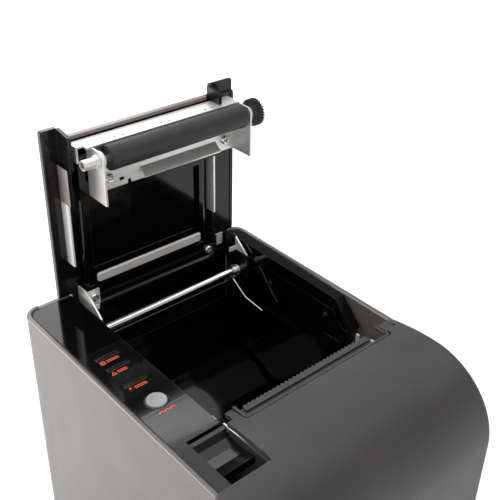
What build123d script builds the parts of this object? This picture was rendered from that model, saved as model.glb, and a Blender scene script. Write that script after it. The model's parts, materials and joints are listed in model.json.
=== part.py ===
from build123d import *
import os
from math import atan2, cos, pi, radians, sin, sqrt, tan

os.makedirs("parts", exist_ok=True)

# Receipt printer with its paper cover open. Millimetres, +Z up, front towards -Y,
# origin at the centre of the footprint on the table.

# ---------------------------------------------------------------- driving dimensions
WIDTH = 145.0  # over the side panels
DEPTH = 194.0
DECK = 143.0  # top deck above the table
CROWN = 4.0  # the front cover's highest line above the deck
FOOT = 2.0
PANEL = 2.9  # side panel thickness
WALL = 2.3  # moulded wall thickness
SHEET = 1.0  # steel sheet thickness
SEAM = 0.3  # gap between two shells
BUCKET_LEFT, BUCKET_RIGHT = -44.0, 63.0
SPLIT_Z = 64.0  # where the front cover ends and the lower panel starts
COVER_BACK = -29.3  # rear edge of the front cover
COVER_R = 41.0  # large radius over the front
SHAFT_R = 2.5
LID_LEFT, LID_RIGHT = -50.9, 67.2
LID_UP = 95.5  # top of the open lid's posts above the deck
LID_DOWN = 36.0  # lower end of the open lid below the deck
LID_T = 2.5
NOTCH_UP = 89.6  # edge of the lid between its posts, above the deck
FLANGE_UP = 87.5  # the platen bracket's top flange, above the deck
NOTCH_LEFT, NOTCH_RIGHT = -42.2, 51.2
TAIL_LEFT, TAIL_RIGHT = -43.2, 62.4  # the lid's width below the deck
RIB = 2.0
PLATEN_R = 6.4
PLATEN_LEFT, PLATEN_RIGHT = -26.0, 58.6
AXLE_R = 2.0
BUSH_R, STUB_R = 3.5, 2.65  # the platen's bushes, and the left one's thinner end
RUNNING = 0.05  # radial clearance of a turning fit
SCREW_R = 1.4

BACK, FRONT, SIDE = DEPTH / 2, -DEPTH / 2, WIDTH / 2
HINGE_Y, HINGE_Z = BACK - 19.6, DECK - 16.5
PLATEN_Y, PLATEN_Z = BACK - 20.5, DECK + 81.8
EAR_LEFT, EAR_RIGHT = -31.5, 60.2
FRAME_LEFT, FRAME_RIGHT = -36.4, 61.6
COVER_SIDE = SIDE + 0.8

# where the platen's axis comes to rest when the lid has turned 90 degrees shut
NIP_Y = HINGE_Y - (PLATEN_Z - HINGE_Z)
NIP_Z = HINGE_Z + (PLATEN_Y - HINGE_Y)

FEED_MODULE = 0.5
PLATEN_TEETH, IDLER_TEETH, PINION_TEETH = 28, 40, 14
IDLER_Y, IDLER_Z = NIP_Y - 9.15, NIP_Z - 15.85
MESH = FEED_MODULE * (IDLER_TEETH + PINION_TEETH) / 2
PINION_ANGLE = radians(220)
PINION_Y = IDLER_Y + MESH * cos(PINION_ANGLE)
PINION_Z = IDLER_Z + MESH * sin(PINION_ANGLE)
GEAR_X, GEAR_W = 64.3, 4.3

LATCH_Y, LATCH_Z = NIP_Y - 3.1, NIP_Z - 25.6
CUT_MODULE, CUT_TEETH = 0.8, 14
CUT_X, CUT_Y = 8.0, BACK - 138.0
BLADE_Z = DECK - 1.1


# ---------------------------------------------------------------- small helpers
def between(x, y, z, mode=Mode.ADD):
    """A box from one corner to the other, in the part being built."""
    with Locations(((x[0] + x[1]) / 2, (y[0] + y[1]) / 2, (z[0] + z[1]) / 2)):
        Box(x[1] - x[0], y[1] - y[0], z[1] - z[0], mode=mode)


def rod(axis, a, b, centre, r, mode=Mode.ADD):
    """A cylinder along X, Y or Z from a to b; centre is its place on the other two axes."""
    middle = (a + b) / 2
    place, turn = {
        "x": ((middle, centre[0], centre[1]), (0, 90, 0)),
        "y": ((centre[0], middle, centre[1]), (90, 0, 0)),
        "z": ((centre[0], centre[1], middle), (0, 0, 0)),
    }[axis]
    with Locations(Location(place, turn)):
        Cylinder(r, b - a, mode=mode)


def side_plate(x, points, thickness, mode=Mode.ADD):
    """A plate square to X whose outline is a list of (y, z) points."""
    with BuildSketch(Plane.YZ.offset(x)) as profile:
        with BuildLine():
            Polyline(*points, close=True)
        make_face()
    extrude(profile.sketch, amount=thickness, mode=mode)


def screw(axis, place, tip, r_head=2.6, r_shank=SCREW_R, h_head=1.9, way=1):
    """A pan-head screw: the head starts at place along axis, the shank runs to tip behind it."""
    start = place[{"x": 0, "y": 1, "z": 2}[axis]]
    centre = tuple(p for name, p in zip("xyz", place) if name != axis)
    ends = sorted((start, start + way * h_head))
    rod(axis, ends[0], ends[1], centre, r_head)
    shank = sorted((start, tip))
    rod(axis, shank[0], shank[1], centre, r_shank)


def gear_points(teeth, module, backlash=0.1):
    """Outline of an involute gear with a tooth centred on angle 0."""
    pitch_r = teeth * module / 2
    base_r = pitch_r * cos(radians(20))
    root_r, tip_r = pitch_r - 1.25 * module, pitch_r + module
    involute_at_pitch = tan(radians(20)) - radians(20)
    half_tooth = pi / (2 * teeth) - backlash / (2 * pitch_r)
    flank = []
    steps = 4
    start_r = max(base_r, root_r)
    for i in range(steps + 1):
        r = start_r + (tip_r - start_r) * i / steps
        roll = sqrt(max((r / base_r) ** 2 - 1, 0))
        flank.append((r, half_tooth + involute_at_pitch - (roll - atan2(roll, 1))))
    if root_r < base_r:
        flank.insert(0, (root_r, flank[0][1]))
    points = []
    for k in range(teeth):
        middle = 2 * pi * k / teeth
        tooth = [(r, middle - a) for r, a in flank] + [(r, middle + a) for r, a in reversed(flank)]
        points += [(r * cos(a), r * sin(a)) for r, a in tooth]
    return points


def spur(plane, teeth, module, width, bore):
    """A gear of that width along the plane's normal, with a round bore."""
    with BuildSketch(plane) as outline:
        with BuildLine():
            Polyline(*gear_points(teeth, module), close=True)
        make_face()
        Circle(bore, mode=Mode.SUBTRACT)
    extrude(outline.sketch, amount=width)


def x_plane(x, y, z, turned=0.0):
    """A plane square to X at a point, its own X turned from +Y by that many radians."""
    return Plane(origin=(x, y, z), x_dir=(0, cos(turned), sin(turned)), z_dir=(1, 0, 0))


def footprint(inset, height, z):
    """The body's plan, drawn in by inset, with larger corners at the back."""
    with BuildSketch(Plane.XY.offset(z)) as plan:
        Rectangle(WIDTH - 2 * inset, DEPTH - 2 * inset)
        corners = plan.vertices().group_by(Axis.Y)
        fillet(corners[-1], 9.0 - inset)
        fillet(plan.vertices().group_by(Axis.Y)[0], 4.0 - inset)
    extrude(plan.sketch, amount=height, mode=Mode.ADD if inset == 0 else Mode.SUBTRACT)


def body_ring(z, height):
    """The outer shell all round, one panel thick."""
    footprint(0, height, z)
    footprint(PANEL, height, z)


# ---------------------------------------------------------------- case
CASE_SCREWS = [(x, y) for x in (-55, 55) for y in (-75, 75)]
with BuildPart() as base_tray:
    with BuildSketch(Plane.XY.offset(FOOT)):
        RectangleRounded(WIDTH - 2 * PANEL - 2 * SEAM, DEPTH - 2 * PANEL - 2 * SEAM, 6)
    extrude(amount=18)
    with BuildSketch(Plane.XY.offset(FOOT + WALL)):
        RectangleRounded(WIDTH - 2 * PANEL - 2 * SEAM - 2 * WALL, DEPTH - 2 * PANEL - 2 * SEAM - 2 * WALL, 4)
    extrude(amount=18, mode=Mode.SUBTRACT)
    with BuildSketch(Plane.XY.offset(FOOT + WALL)):
        with GridLocations(110, 150, 2, 2):
            Circle(4)
    extrude(amount=17.7 - FOOT)
    # columns under the print mechanism, and saddles under the paper bucket
    with BuildSketch(Plane.XY.offset(FOOT + WALL)):
        with Locations((-30, -55), (55, -55), (-30, -25), (55, -25)):
            Circle(4)
    extrude(amount=DECK - 62.0 - FOOT - WALL)
    for x in (-30, 50):
        between((x - 1.5, x + 1.5), (BACK - 68, BACK - 56), (FOOT + WALL, DECK - 42 - 46.2))
    with BuildSketch(Plane.XY.offset(FOOT)):
        with GridLocations(0, 7, 1, 9):
            SlotOverall(44, 2.2)
    extrude(amount=WALL, mode=Mode.SUBTRACT)
    for x, y in CASE_SCREWS:
        rod("z", FOOT, FOOT + 2, (x, y), 2.8, Mode.SUBTRACT)
        rod("z", FOOT, FOOT + 14, (x, y), SCREW_R, Mode.SUBTRACT)
base_tray.part.label = "base_tray"
export_step(base_tray.part, "parts/base_tray.step")

with BuildPart() as case_screws:
    for x, y in CASE_SCREWS:
        screw("z", (x, y, FOOT + 2), FOOT + 14, way=-1, h_head=1.6)
case_screws.part.label = "case_screws"
export_step(case_screws.part, "parts/case_screws.step")

with BuildPart() as rubber_feet:
    with BuildSketch():
        with GridLocations(116, 160, 2, 2):
            Circle(7)
    extrude(amount=FOOT)
rubber_feet.part.label = "rubber_feet"
export_step(rubber_feet.part, "parts/rubber_feet.step")

PANEL_END = 63.2  # how far the side panels reach round the back
LEDGE = SIDE - PANEL - 1.4
SLOPE_BACK = BACK - 94.0
SWITCH_Y, SWITCH_Z = -60.0, 38.0  # rocker switch low on the right side, towards the front
DECK_T = 2.4
with BuildPart() as side_panel_right:
    body_ring(4, DECK + 1 - 4)
    between((PANEL_END, SIDE + 1), (-90, BACK + 1), (0, 200), Mode.INTERSECT)
    between((PANEL_END - 1, SIDE + 2), (-91, COVER_BACK + SEAM), (SPLIT_Z - SEAM, 200), Mode.SUBTRACT)
    rim = side_panel_right.edges().group_by(Axis.Z)[-1].filter_by(lambda edge: edge.length > PANEL + 1)
    fillet(rim, 1.1)
    # ledge under the deck's edge
    between((LEDGE, SIDE - PANEL / 2), (SLOPE_BACK, BACK - 12), (DECK - DECK_T - 2, DECK - DECK_T))
    between(
        (SIDE - PANEL - 1, SIDE + 1),
        (SWITCH_Y - 10.1, SWITCH_Y + 10.1),
        (SWITCH_Z - 7.1, SWITCH_Z + 7.1),
        Mode.SUBTRACT,
    )
side_panel_right.part.label = "side_panel_right"
export_step(side_panel_right.part, "parts/side_panel_right.step")

LEFT_STEP = -64.0  # the left panel keeps its height as far as the release lever
with BuildPart() as side_panel_left:
    body_ring(4, DECK + 1 - 4)
    between((-SIDE - 1, -PANEL_END), (-90, BACK + 1), (0, 200), Mode.INTERSECT)
    between((-SIDE - 2, -PANEL_END + 1), (-91, LEFT_STEP + SEAM), (SPLIT_Z - SEAM, 200), Mode.SUBTRACT)
    rim = side_panel_left.edges().group_by(Axis.Z)[-1].filter_by(lambda edge: edge.length > PANEL + 1)
    fillet(rim, 1.1)
    between((-SIDE + PANEL / 2, -LEDGE), (LEFT_STEP + 1, BACK - 12), (DECK - DECK_T - 2, DECK - DECK_T))
side_panel_left.part.label = "side_panel_left"
export_step(side_panel_left.part, "parts/side_panel_left.step")

with BuildPart() as lower_front_panel:
    body_ring(4, SPLIT_Z - 4 - SEAM)
    between((-SIDE - 1, SIDE + 1), (FRONT - 1, -90.3), (0, 200), Mode.INTERSECT)
lower_front_panel.part.label = "lower_front_panel"
export_step(lower_front_panel.part, "parts/lower_front_panel.step")

PORTS = (("dc", -46, 11, 12), ("usb", -22, 13, 12), ("drawer", 2, 14, 13), ("lan", 27, 17, 14))
PORT_Z = 24.0
REAR_RISE = TAIL_LEFT - 1.1
with BuildPart() as rear_panel:
    with BuildSketch(Plane.XZ.offset(-BACK)):
        with Locations((0, (20.3 + DECK - LID_DOWN - 1) / 2)):
            Rectangle(2 * PANEL_END - 2 * SEAM, DECK - LID_DOWN - 1 - 20.3)
        # it rises to the deck beside the lid's lower end
        with Locations(((REAR_RISE - PANEL_END + SEAM) / 2, DECK - 30)):
            Rectangle(REAR_RISE + PANEL_END - SEAM, 59.4)
        for name, x, wide, high in PORTS:
            with Locations((x, PORT_Z + high / 2)):
                Rectangle(wide + 1, high + 1, mode=Mode.SUBTRACT)
        with Locations((-48, 70)):
            with GridLocations(0, 5, 1, 6):
                SlotOverall(24, 2, mode=Mode.SUBTRACT)
        with Locations((48, 70)):
            with GridLocations(0, 5, 1, 6):
                SlotOverall(24, 2, mode=Mode.SUBTRACT)
    extrude(amount=WALL)
rear_panel.part.label = "rear_panel"
export_step(rear_panel.part, "parts/rear_panel.step")

ARCH_Y = FRONT + COVER_R
ARCH_Z = DECK + CROWN - COVER_R


def cover_section(inset, back, bottom, half_width, mode=Mode.ADD):
    """The front cover's side view, drawn in by inset and extruded both ways."""
    with BuildSketch(Plane.YZ) as section:
        with BuildLine():
            rear = (back, DECK + 1.5 - inset)
            crest = (ARCH_Y, DECK + CROWN - inset)
            nose = (ARCH_Y - COVER_R + inset, ARCH_Z)
            Line((back, bottom), rear)
            ThreePointArc(rear, (COVER_BACK - 13, DECK + 3.4 - inset), crest)
            RadiusArc(crest, nose, -(COVER_R - inset))
            Line(nose, (nose[0], bottom))
            Line((nose[0], bottom), (back, bottom))
        make_face()
    extrude(section.sketch, amount=half_width, both=True, mode=mode)


# the exit: a U-shaped opening in the cover's rear edge, with a raised rim in it
RIM_LEFT, RIM_RIGHT, RIM_FRONT = -35.2, 60.0, BACK - 135.6
RIM_W, GROOVE = 1.2, 0.7
with BuildPart() as front_cover:
    cover_section(0, COVER_BACK, SPLIT_Z, COVER_SIDE)
    ridge = front_cover.edges().filter_by(GeomType.CIRCLE).filter_by_position(Axis.X, COVER_SIDE - 0.1, COVER_SIDE + 0.1)
    ridge += front_cover.edges().filter_by(GeomType.CIRCLE).filter_by_position(Axis.X, -COVER_SIDE - 0.1, -COVER_SIDE + 0.1)
    upright = front_cover.edges().filter_by(Axis.Z).group_by(Axis.Y)[0]
    fillet(ridge + upright, 3.4)
    cover_section(2.4, COVER_BACK + 2, SPLIT_Z - 2, COVER_SIDE - 2.4, Mode.SUBTRACT)
    # top left is open for the release lever; the deck runs on under it
    between((-SIDE - 5, BUCKET_LEFT + 0.7), (LEFT_STEP, 0), (SPLIT_Z - 1, 200), Mode.SUBTRACT)
    with BuildSketch(Plane.XY.offset(DECK - 3)):
        with Locations(((RIM_LEFT + RIM_RIGHT) / 2, RIM_FRONT - GROOVE + 10)):
            RectangleRounded(RIM_RIGHT - RIM_LEFT + 2 * GROOVE, 20, 2.4)
    extrude(amount=12, mode=Mode.SUBTRACT)
    # landings for the closed lid's two posts
    between((NOTCH_RIGHT - 3, LID_RIGHT + 0.7), (BACK - 132.3, 0), (DECK + 1.5, 200), Mode.SUBTRACT)
    between((-45, NOTCH_LEFT + RIB + 0.5), (BACK - 132.3, 0), (DECK - 12, 200), Mode.SUBTRACT)
front_cover.part.label = "front_cover"
export_step(front_cover.part, "parts/front_cover.step")

RIM_MID = (RIM_LEFT + RIM_RIGHT) / 2
SILL_Z = DECK + 0.1
with BuildPart() as exit_rim:
    with BuildSketch(Plane.XY.offset(SILL_Z)):
        with Locations((RIM_MID, RIM_FRONT + 10)):
            RectangleRounded(RIM_RIGHT - RIM_LEFT, 20, 2.2)
        with Locations((RIM_MID, RIM_FRONT + RIM_W + 10)):
            RectangleRounded(RIM_RIGHT - RIM_LEFT - 2 * RIM_W, 20, 1.2, mode=Mode.SUBTRACT)
        with Locations((RIM_MID, BACK - 126.1 + 20)):
            Rectangle(200, 40, mode=Mode.SUBTRACT)
    extrude(amount=2.5)
    between((RIM_RIGHT - 2 * RIM_W, RIM_RIGHT + 1), (BACK - 132.3, 0), (DECK + 1.5, 200), Mode.SUBTRACT)
    # sloping sill inside the rim, under the tear bar
    side_plate(
        RIM_LEFT + RIM_W,
        [
            (RIM_FRONT + RIM_W, SILL_Z),
            (BACK - 128.6, SILL_Z),
            (BACK - 128.6, DECK + 1.0),
            (RIM_FRONT + RIM_W, DECK + 1.6),
        ],
        NOTCH_RIGHT - RIB - 0.6 - RIM_LEFT - RIM_W,
    )
exit_rim.part.label = "exit_rim"
export_step(exit_rim.part, "parts/exit_rim.step")

# serrated strip that the paper is torn against
TEAR_LEFT, TEAR_RIGHT = -31.6, NOTCH_RIGHT - RIB - 0.8
with BuildPart() as tear_bar:
    with BuildSketch(Plane.XY.offset(DECK + 1.6)):
        with BuildLine():
            count = 32
            step = (TEAR_RIGHT - TEAR_LEFT) / count
            saw = [(TEAR_LEFT + i * step / 2, BACK - (128.0 if i % 2 else 128.9)) for i in range(2 * count + 1)]
            Polyline(*saw, (TEAR_RIGHT, BACK - 131.8), (TEAR_LEFT, BACK - 131.8), close=True)
        make_face()
    extrude(amount=0.8)
tear_bar.part.label = "tear_bar"
export_step(tear_bar.part, "parts/tear_bar.step")

# ---------------------------------------------------------------- top deck and paper bucket
DECK_EDGE = SIDE - PANEL - SEAM
WINDOW_X, WINDOW_L, WINDOW_W = -57.1, 12.5, 2.2
WINDOW_Y = (BACK - 58.4, BACK - 68.0, BACK - 82.4)
FEED_X, FEED_Y, FEED_R = -57.0, BACK - 99.0, 4.9
OVERLAY_LEFT, OVERLAY_RIGHT = -69.0, BUCKET_LEFT - 0.4
OVERLAY_BACK, OVERLAY_FRONT = BACK - 52.0, BACK - 105.5
LEVER_LEFT, LEVER_RIGHT = -62.3, -44.0
with BuildPart() as top_deck:
    between((-DECK_EDGE, BUCKET_LEFT), (LEFT_STEP + SEAM, BACK - PANEL), (DECK - DECK_T, DECK))
    between((BUCKET_RIGHT, DECK_EDGE), (SLOPE_BACK, BACK - PANEL), (DECK - DECK_T, DECK))
    corners = top_deck.edges().filter_by(Axis.Z).filter_by_position(Axis.Y, BACK - PANEL - 1, BACK)
    fillet(corners.group_by(Axis.X)[0] + corners.group_by(Axis.X)[-1], 6.2)
    # skirts down both sides of the paper opening
    between((BUCKET_LEFT - 2, BUCKET_LEFT), (BACK - 112, BACK - PANEL - 5), (DECK - 8, DECK))
    between((BUCKET_RIGHT, BUCKET_RIGHT + 2), (SLOPE_BACK, BACK - PANEL - 5), (DECK - 8, DECK))
    # the strip on the right ends in a slope that makes room for the platen's gear
    side_plate(
        BUCKET_RIGHT,
        [(SLOPE_BACK, DECK), (SLOPE_BACK - 13, DECK - 13), (SLOPE_BACK - 13, DECK - 15.6), (SLOPE_BACK, DECK - 3)],
        DECK_EDGE - BUCKET_RIGHT,
    )
    # the open lid's lower end hangs in a notch at the back
    between((BUCKET_LEFT - 0.3, LID_RIGHT + 0.7), (BACK - LID_T - 3.3, BACK + 1), (0, 200), Mode.SUBTRACT)
    # shallow bed for the control overlay, and its openings
    between((OVERLAY_LEFT, BUCKET_LEFT - 0.4), (OVERLAY_FRONT, OVERLAY_BACK), (DECK - 0.5, DECK), Mode.SUBTRACT)
    for y in WINDOW_Y:
        between(
            (WINDOW_X - WINDOW_L / 2, WINDOW_X + WINDOW_L / 2),
            (y - WINDOW_W / 2, y + WINDOW_W / 2),
            (DECK - 9, DECK),
            Mode.SUBTRACT,
        )
    rod("z", DECK - 9, DECK, (FEED_X, FEED_Y), FEED_R + 0.35, Mode.SUBTRACT)
    between((LEVER_LEFT - 0.4, BUCKET_LEFT + 1), (BACK - 159.5, BACK - 128.2), (DECK - 9, DECK + 1), Mode.SUBTRACT)
top_deck.part.label = "top_deck"
export_step(top_deck.part, "parts/top_deck.step")

with BuildPart() as control_overlay:
    between((OVERLAY_LEFT, OVERLAY_RIGHT), (OVERLAY_FRONT, OVERLAY_BACK), (DECK - 0.5, DECK + 0.1))
    for y in WINDOW_Y:
        between(
            (WINDOW_X - WINDOW_L / 2, WINDOW_X + WINDOW_L / 2),
            (y - WINDOW_W / 2, y + WINDOW_W / 2),
            (DECK - 9, DECK + 1),
            Mode.SUBTRACT,
        )
    rod("z", DECK - 9, DECK + 1, (FEED_X, FEED_Y), FEED_R + 0.35, Mode.SUBTRACT)
control_overlay.part.label = "control_overlay"
export_step(control_overlay.part, "parts/control_overlay.step")

# light pipes that stand in the three windows
PIPE_GAP = 0.05
with BuildPart() as led_windows:
    for y in WINDOW_Y:
        between(
            (WINDOW_X - WINDOW_L / 2 + PIPE_GAP, WINDOW_X + WINDOW_L / 2 - PIPE_GAP),
            (y - WINDOW_W / 2 + PIPE_GAP, y + WINDOW_W / 2 - PIPE_GAP),
            (DECK - 6, DECK + 0.15),
        )
led_windows.part.label = "led_windows"
export_step(led_windows.part, "parts/led_windows.step")

BOARD_TOP = DECK - 12.0
with BuildPart() as button_board:
    between((-67, -48), (BACK - 107, BACK - 52), (BOARD_TOP - 1.6, BOARD_TOP))
    for y in WINDOW_Y:
        for dx in (-3, 3):
            between((WINDOW_X + dx - 1, WINDOW_X + dx + 1), (y - 0.6, y + 0.6), (BOARD_TOP, BOARD_TOP + 1.2))
button_board.part.label = "button_board"
export_step(button_board.part, "parts/button_board.step")

with BuildPart() as tact_switch:
    between((FEED_X - 3, FEED_X + 3), (FEED_Y - 3, FEED_Y + 3), (BOARD_TOP, BOARD_TOP + 3.2))
    rod("z", BOARD_TOP + 3.2, BOARD_TOP + 3.8, (FEED_X, FEED_Y), 1.6)
tact_switch.part.label = "tact_switch"
export_step(tact_switch.part, "parts/tact_switch.step")

FEED_TRAVEL = 0.8
with BuildPart() as feed_button:
    rod("z", DECK - 4, DECK + 0.9, (FEED_X, FEED_Y), FEED_R)
    fillet(feed_button.edges().group_by(Axis.Z)[-1], 0.6)
    rod("z", BOARD_TOP + 3.9 + FEED_TRAVEL, DECK - 3, (FEED_X, FEED_Y), 1.8)
feed_button.part.label = "feed_button"
export_step(feed_button.part, "parts/feed_button.step")

# bucket for the paper roll: two side walls and a round cradle
CRADLE_Y, CRADLE_Z, CRADLE_R = BACK - 62.0, DECK - 42.0, 44.0
BUCKET_T = 2.2
LIP_Z = DECK - 30.0
BUCKET_SCREWS = ((BACK - 43, DECK - 17), (BACK - 88, DECK - 14))


def cradle(r, lip_z, x0, x1, mode=Mode.ADD):
    """The roll space: a round bottom with straight sides up to lip_z, between two X values."""
    with BuildSketch(Plane.YZ.offset(x0)) as hollow:
        with Locations((CRADLE_Y, CRADLE_Z)):
            Circle(r)
        with Locations((CRADLE_Y, (CRADLE_Z + lip_z) / 2)):
            Rectangle(2 * r, lip_z - CRADLE_Z)
    extrude(hollow.sketch, amount=x1 - x0, mode=mode)


with BuildPart() as paper_bucket:
    cradle(CRADLE_R + BUCKET_T, LIP_Z, BUCKET_LEFT - BUCKET_T, BUCKET_RIGHT + BUCKET_T)
    between((BUCKET_LEFT - BUCKET_T, BUCKET_RIGHT + BUCKET_T), (BACK - 110, BACK - PANEL - 3), (LIP_Z - 8, LIP_Z))
    between(
        (BUCKET_LEFT - BUCKET_T, BUCKET_LEFT),
        (BACK - 110, BACK - PANEL - 6),
        (LIP_Z - 2, DECK - 8.1),
    )
    between(
        (BUCKET_RIGHT, BUCKET_RIGHT + BUCKET_T),
        (BACK - 105, BACK - PANEL - 6),
        (LIP_Z - 2, DECK - 16),
    )
    between(
        (BUCKET_RIGHT, BUCKET_RIGHT + BUCKET_T),
        (SLOPE_BACK + 0.5, BACK - PANEL - 6),
        (DECK - 16.1, DECK - 8.1),
    )
    between((-SIDE, SIDE), (BACK - 120, BACK), (DECK - 8.1, 200), Mode.SUBTRACT)
    cradle(CRADLE_R, 200, BUCKET_LEFT, BUCKET_RIGHT, Mode.SUBTRACT)
    between((BUCKET_LEFT, BUCKET_RIGHT), (BACK - 40, BACK), (DECK - 34, 200), Mode.SUBTRACT)
    for x in (BUCKET_LEFT - BUCKET_T, BUCKET_RIGHT):
        rod("x", x, x + BUCKET_T, (HINGE_Y, HINGE_Z), 6)
    rod("x", BUCKET_LEFT - BUCKET_T - 1, BUCKET_RIGHT + BUCKET_T + 1, (HINGE_Y, HINGE_Z), SHAFT_R, Mode.SUBTRACT)
    for y, z in BUCKET_SCREWS:
        rod("x", BUCKET_RIGHT - 1, BUCKET_RIGHT + BUCKET_T + 1, (y, z), SCREW_R, Mode.SUBTRACT)
paper_bucket.part.label = "paper_bucket"
export_step(paper_bucket.part, "parts/paper_bucket.step")

# thicker lower part of the right wall, which keeps the roll in line
GUIDE_T = 2.6
with BuildPart() as roll_guide:
    side_plate(
        BUCKET_RIGHT - GUIDE_T,
        [
            (BACK - 38.5, DECK - 35),
            (BACK - 81, DECK - 33.5),
            (BACK - 90, DECK - 23.5),
            (BACK - 102, DECK - 23.5),
            (BACK - 102, DECK - 52),
            (BACK - 88, DECK - 72),
            (BACK - 62, DECK - 82),
            (BACK - 38.5, DECK - 76),
        ],
        GUIDE_T,
    )
roll_guide.part.label = "roll_guide"
export_step(roll_guide.part, "parts/roll_guide.step")

with BuildPart() as bucket_screws:
    for y, z in BUCKET_SCREWS:
        screw("x", (BUCKET_RIGHT, y, z), BUCKET_RIGHT + BUCKET_T, way=-1, h_head=1.0, r_head=1.8)
bucket_screws.part.label = "bucket_screws"
export_step(bucket_screws.part, "parts/bucket_screws.step")

with BuildPart() as paper_end_sensor:
    between((BUCKET_LEFT - BUCKET_T - 8, BUCKET_LEFT - BUCKET_T), (BACK - 74, BACK - 60), (DECK - 66, DECK - 54))
    rod("x", BUCKET_LEFT - BUCKET_T - 9, BUCKET_LEFT - BUCKET_T, (BACK - 67, DECK - 60), 2.5)
paper_end_sensor.part.label = "paper_end_sensor"
export_step(paper_end_sensor.part, "parts/paper_end_sensor.step")

# ---------------------------------------------------------------- hinge
with BuildPart() as hinge_shaft:
    rod("x", BUCKET_LEFT - BUCKET_T - 1.6, BUCKET_RIGHT + BUCKET_T + 1.6, (HINGE_Y, HINGE_Z), SHAFT_R)
    chamfer(hinge_shaft.edges().filter_by(GeomType.CIRCLE), 0.4)
hinge_shaft.part.label = "hinge_shaft"
export_step(hinge_shaft.part, "parts/hinge_shaft.step")

with BuildPart() as shaft_clips:
    for x in (BUCKET_LEFT - BUCKET_T - 1.0, BUCKET_RIGHT + BUCKET_T + 0.2):
        with BuildSketch(Plane.YZ.offset(x)):
            with Locations((HINGE_Y, HINGE_Z)):
                Circle(4.6)
                Circle(SHAFT_R, mode=Mode.SUBTRACT)
            with Locations((HINGE_Y, HINGE_Z - 4)):
                Rectangle(3.6, 6, mode=Mode.SUBTRACT)
        extrude(amount=0.8)
shaft_clips.part.label = "shaft_clips"
export_step(shaft_clips.part, "parts/shaft_clips.step")

WIRE_R, COIL_R, TURNS = 0.45, 3.4, 5
COIL_X = 52.4
COIL_STEP = 0.98
with BuildPart() as hinge_spring:
    for i in range(TURNS):
        with Locations(Location((COIL_X + i * COIL_STEP, HINGE_Y, HINGE_Z), (0, 90, 0))):
            Torus(COIL_R, WIRE_R)
    rod("x", COIL_X, COIL_X + (TURNS - 1) * COIL_STEP, (HINGE_Y, HINGE_Z + COIL_R), WIRE_R * 0.9)
    with BuildLine() as leg_path:
        Polyline(
            (COIL_X, HINGE_Y + 0.4, HINGE_Z - COIL_R),
            (COIL_X + 1.2, HINGE_Y - 12, HINGE_Z - 12.2),
            (COIL_X + 4.6, HINGE_Y - 24, HINGE_Z - 17.2),
        )
    with BuildSketch(Plane(origin=leg_path.line @ 0, z_dir=leg_path.line % 0)):
        Circle(WIRE_R)
    sweep(path=leg_path.line, transition=Transition.ROUND)
hinge_spring.part.label = "hinge_spring"
export_step(hinge_spring.part, "parts/hinge_spring.step")

# ---------------------------------------------------------------- lid, drawn open
LID_FACE = BACK
LID_IN = BACK - LID_T
TAB_UP = 76.0
STRAP_LEFT, STRAP_UP = -43.7, 56.8
with BuildPart() as lid_shell:
    with BuildSketch(Plane.XZ.offset(-LID_FACE)):
        with Locations(((LID_LEFT + LID_RIGHT) / 2, DECK + (LID_UP - LID_DOWN) / 2)):
            RectangleRounded(LID_RIGHT - LID_LEFT, LID_UP + LID_DOWN, 1.5)
        with Locations(((NOTCH_LEFT + NOTCH_RIGHT) / 2, DECK + NOTCH_UP + 20)):
            Rectangle(NOTCH_RIGHT - NOTCH_LEFT, 40, mode=Mode.SUBTRACT)
    extrude(amount=LID_T)
    # narrower where it hangs between the side panels
    between((LID_LEFT - 1, TAIL_LEFT), (LID_IN - 1, LID_FACE + 1), (DECK - LID_DOWN - 1, DECK + 0.5), Mode.SUBTRACT)
    between((TAIL_RIGHT, LID_RIGHT + 1), (LID_IN - 1, LID_FACE + 1), (DECK - LID_DOWN - 1, DECK + 1.2), Mode.SUBTRACT)
    # shallow flanges down both long edges
    between((LID_LEFT + 0.2, LID_LEFT + RIB), (LID_IN - 0.5, LID_IN + 0.5), (DECK + 3, DECK + LID_UP - 2))
    between((LID_RIGHT - RIB, LID_RIGHT - 0.2), (LID_IN - 0.5, LID_IN + 0.5), (DECK + 3, DECK + 88.0))
    # a deep rib on each side of the notch: the left one is short, the right one runs to the hinge
    side_plate(
        NOTCH_LEFT,
        [
            (LID_IN + 0.5, DECK + LID_UP - 0.4),
            (BACK - 12.5, DECK + LID_UP - 2),
            (BACK - 12.5, DECK + TAB_UP),
            (LID_IN + 0.5, DECK + TAB_UP),
        ],
        RIB,
    )
    side_plate(
        NOTCH_RIGHT - RIB,
        [
            (LID_IN + 0.5, DECK + LID_UP - 0.4),
            (BACK - 12.5, DECK + LID_UP - 2),
            (BACK - 12.5, DECK + 66),
            (BACK - 5.0, DECK + 58),
            (BACK - 5.0, DECK - 4),
            (LID_IN + 0.5, DECK - 8),
        ],
        RIB,
    )
    # tab under the left rib, above the end of the left arm's strap
    between((STRAP_LEFT, NOTCH_LEFT + 0.5), (BACK - 12.0, LID_IN + 0.5), (DECK + STRAP_UP + 0.2, DECK + TAB_UP + 1))
    # ledges that tie each rib to its flange
    for x0, x1 in ((LID_LEFT, NOTCH_LEFT + RIB), (NOTCH_RIGHT - 2, LID_RIGHT - RIB + 1)):
        for up in (84.0, 70.0):
            between((x0 + 1, x1 - 0.5), (LID_IN - 0.5, LID_IN + 0.5), (DECK + up, DECK + up + 1.4))
    # room for the platen bracket's plate and flange in the right rib
    between((NOTCH_RIGHT - 3, EAR_RIGHT), (BACK - 16, BACK - 9.9), (DECK + 58.9, DECK + FLANGE_UP), Mode.SUBTRACT)
    between((NOTCH_RIGHT - 3, EAR_RIGHT), (BACK - 16, BACK - 4.5), (DECK + 86.4, DECK + FLANGE_UP + 0.3), Mode.SUBTRACT)
    # the right post's tip is thinner, to lie on the front cover
    between((NOTCH_RIGHT + 1, LID_RIGHT + 1), (BACK - 10, BACK - 1.2), (DECK + 88.6, DECK + 100), Mode.SUBTRACT)
lid_shell.part.label = "lid_shell"
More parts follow.
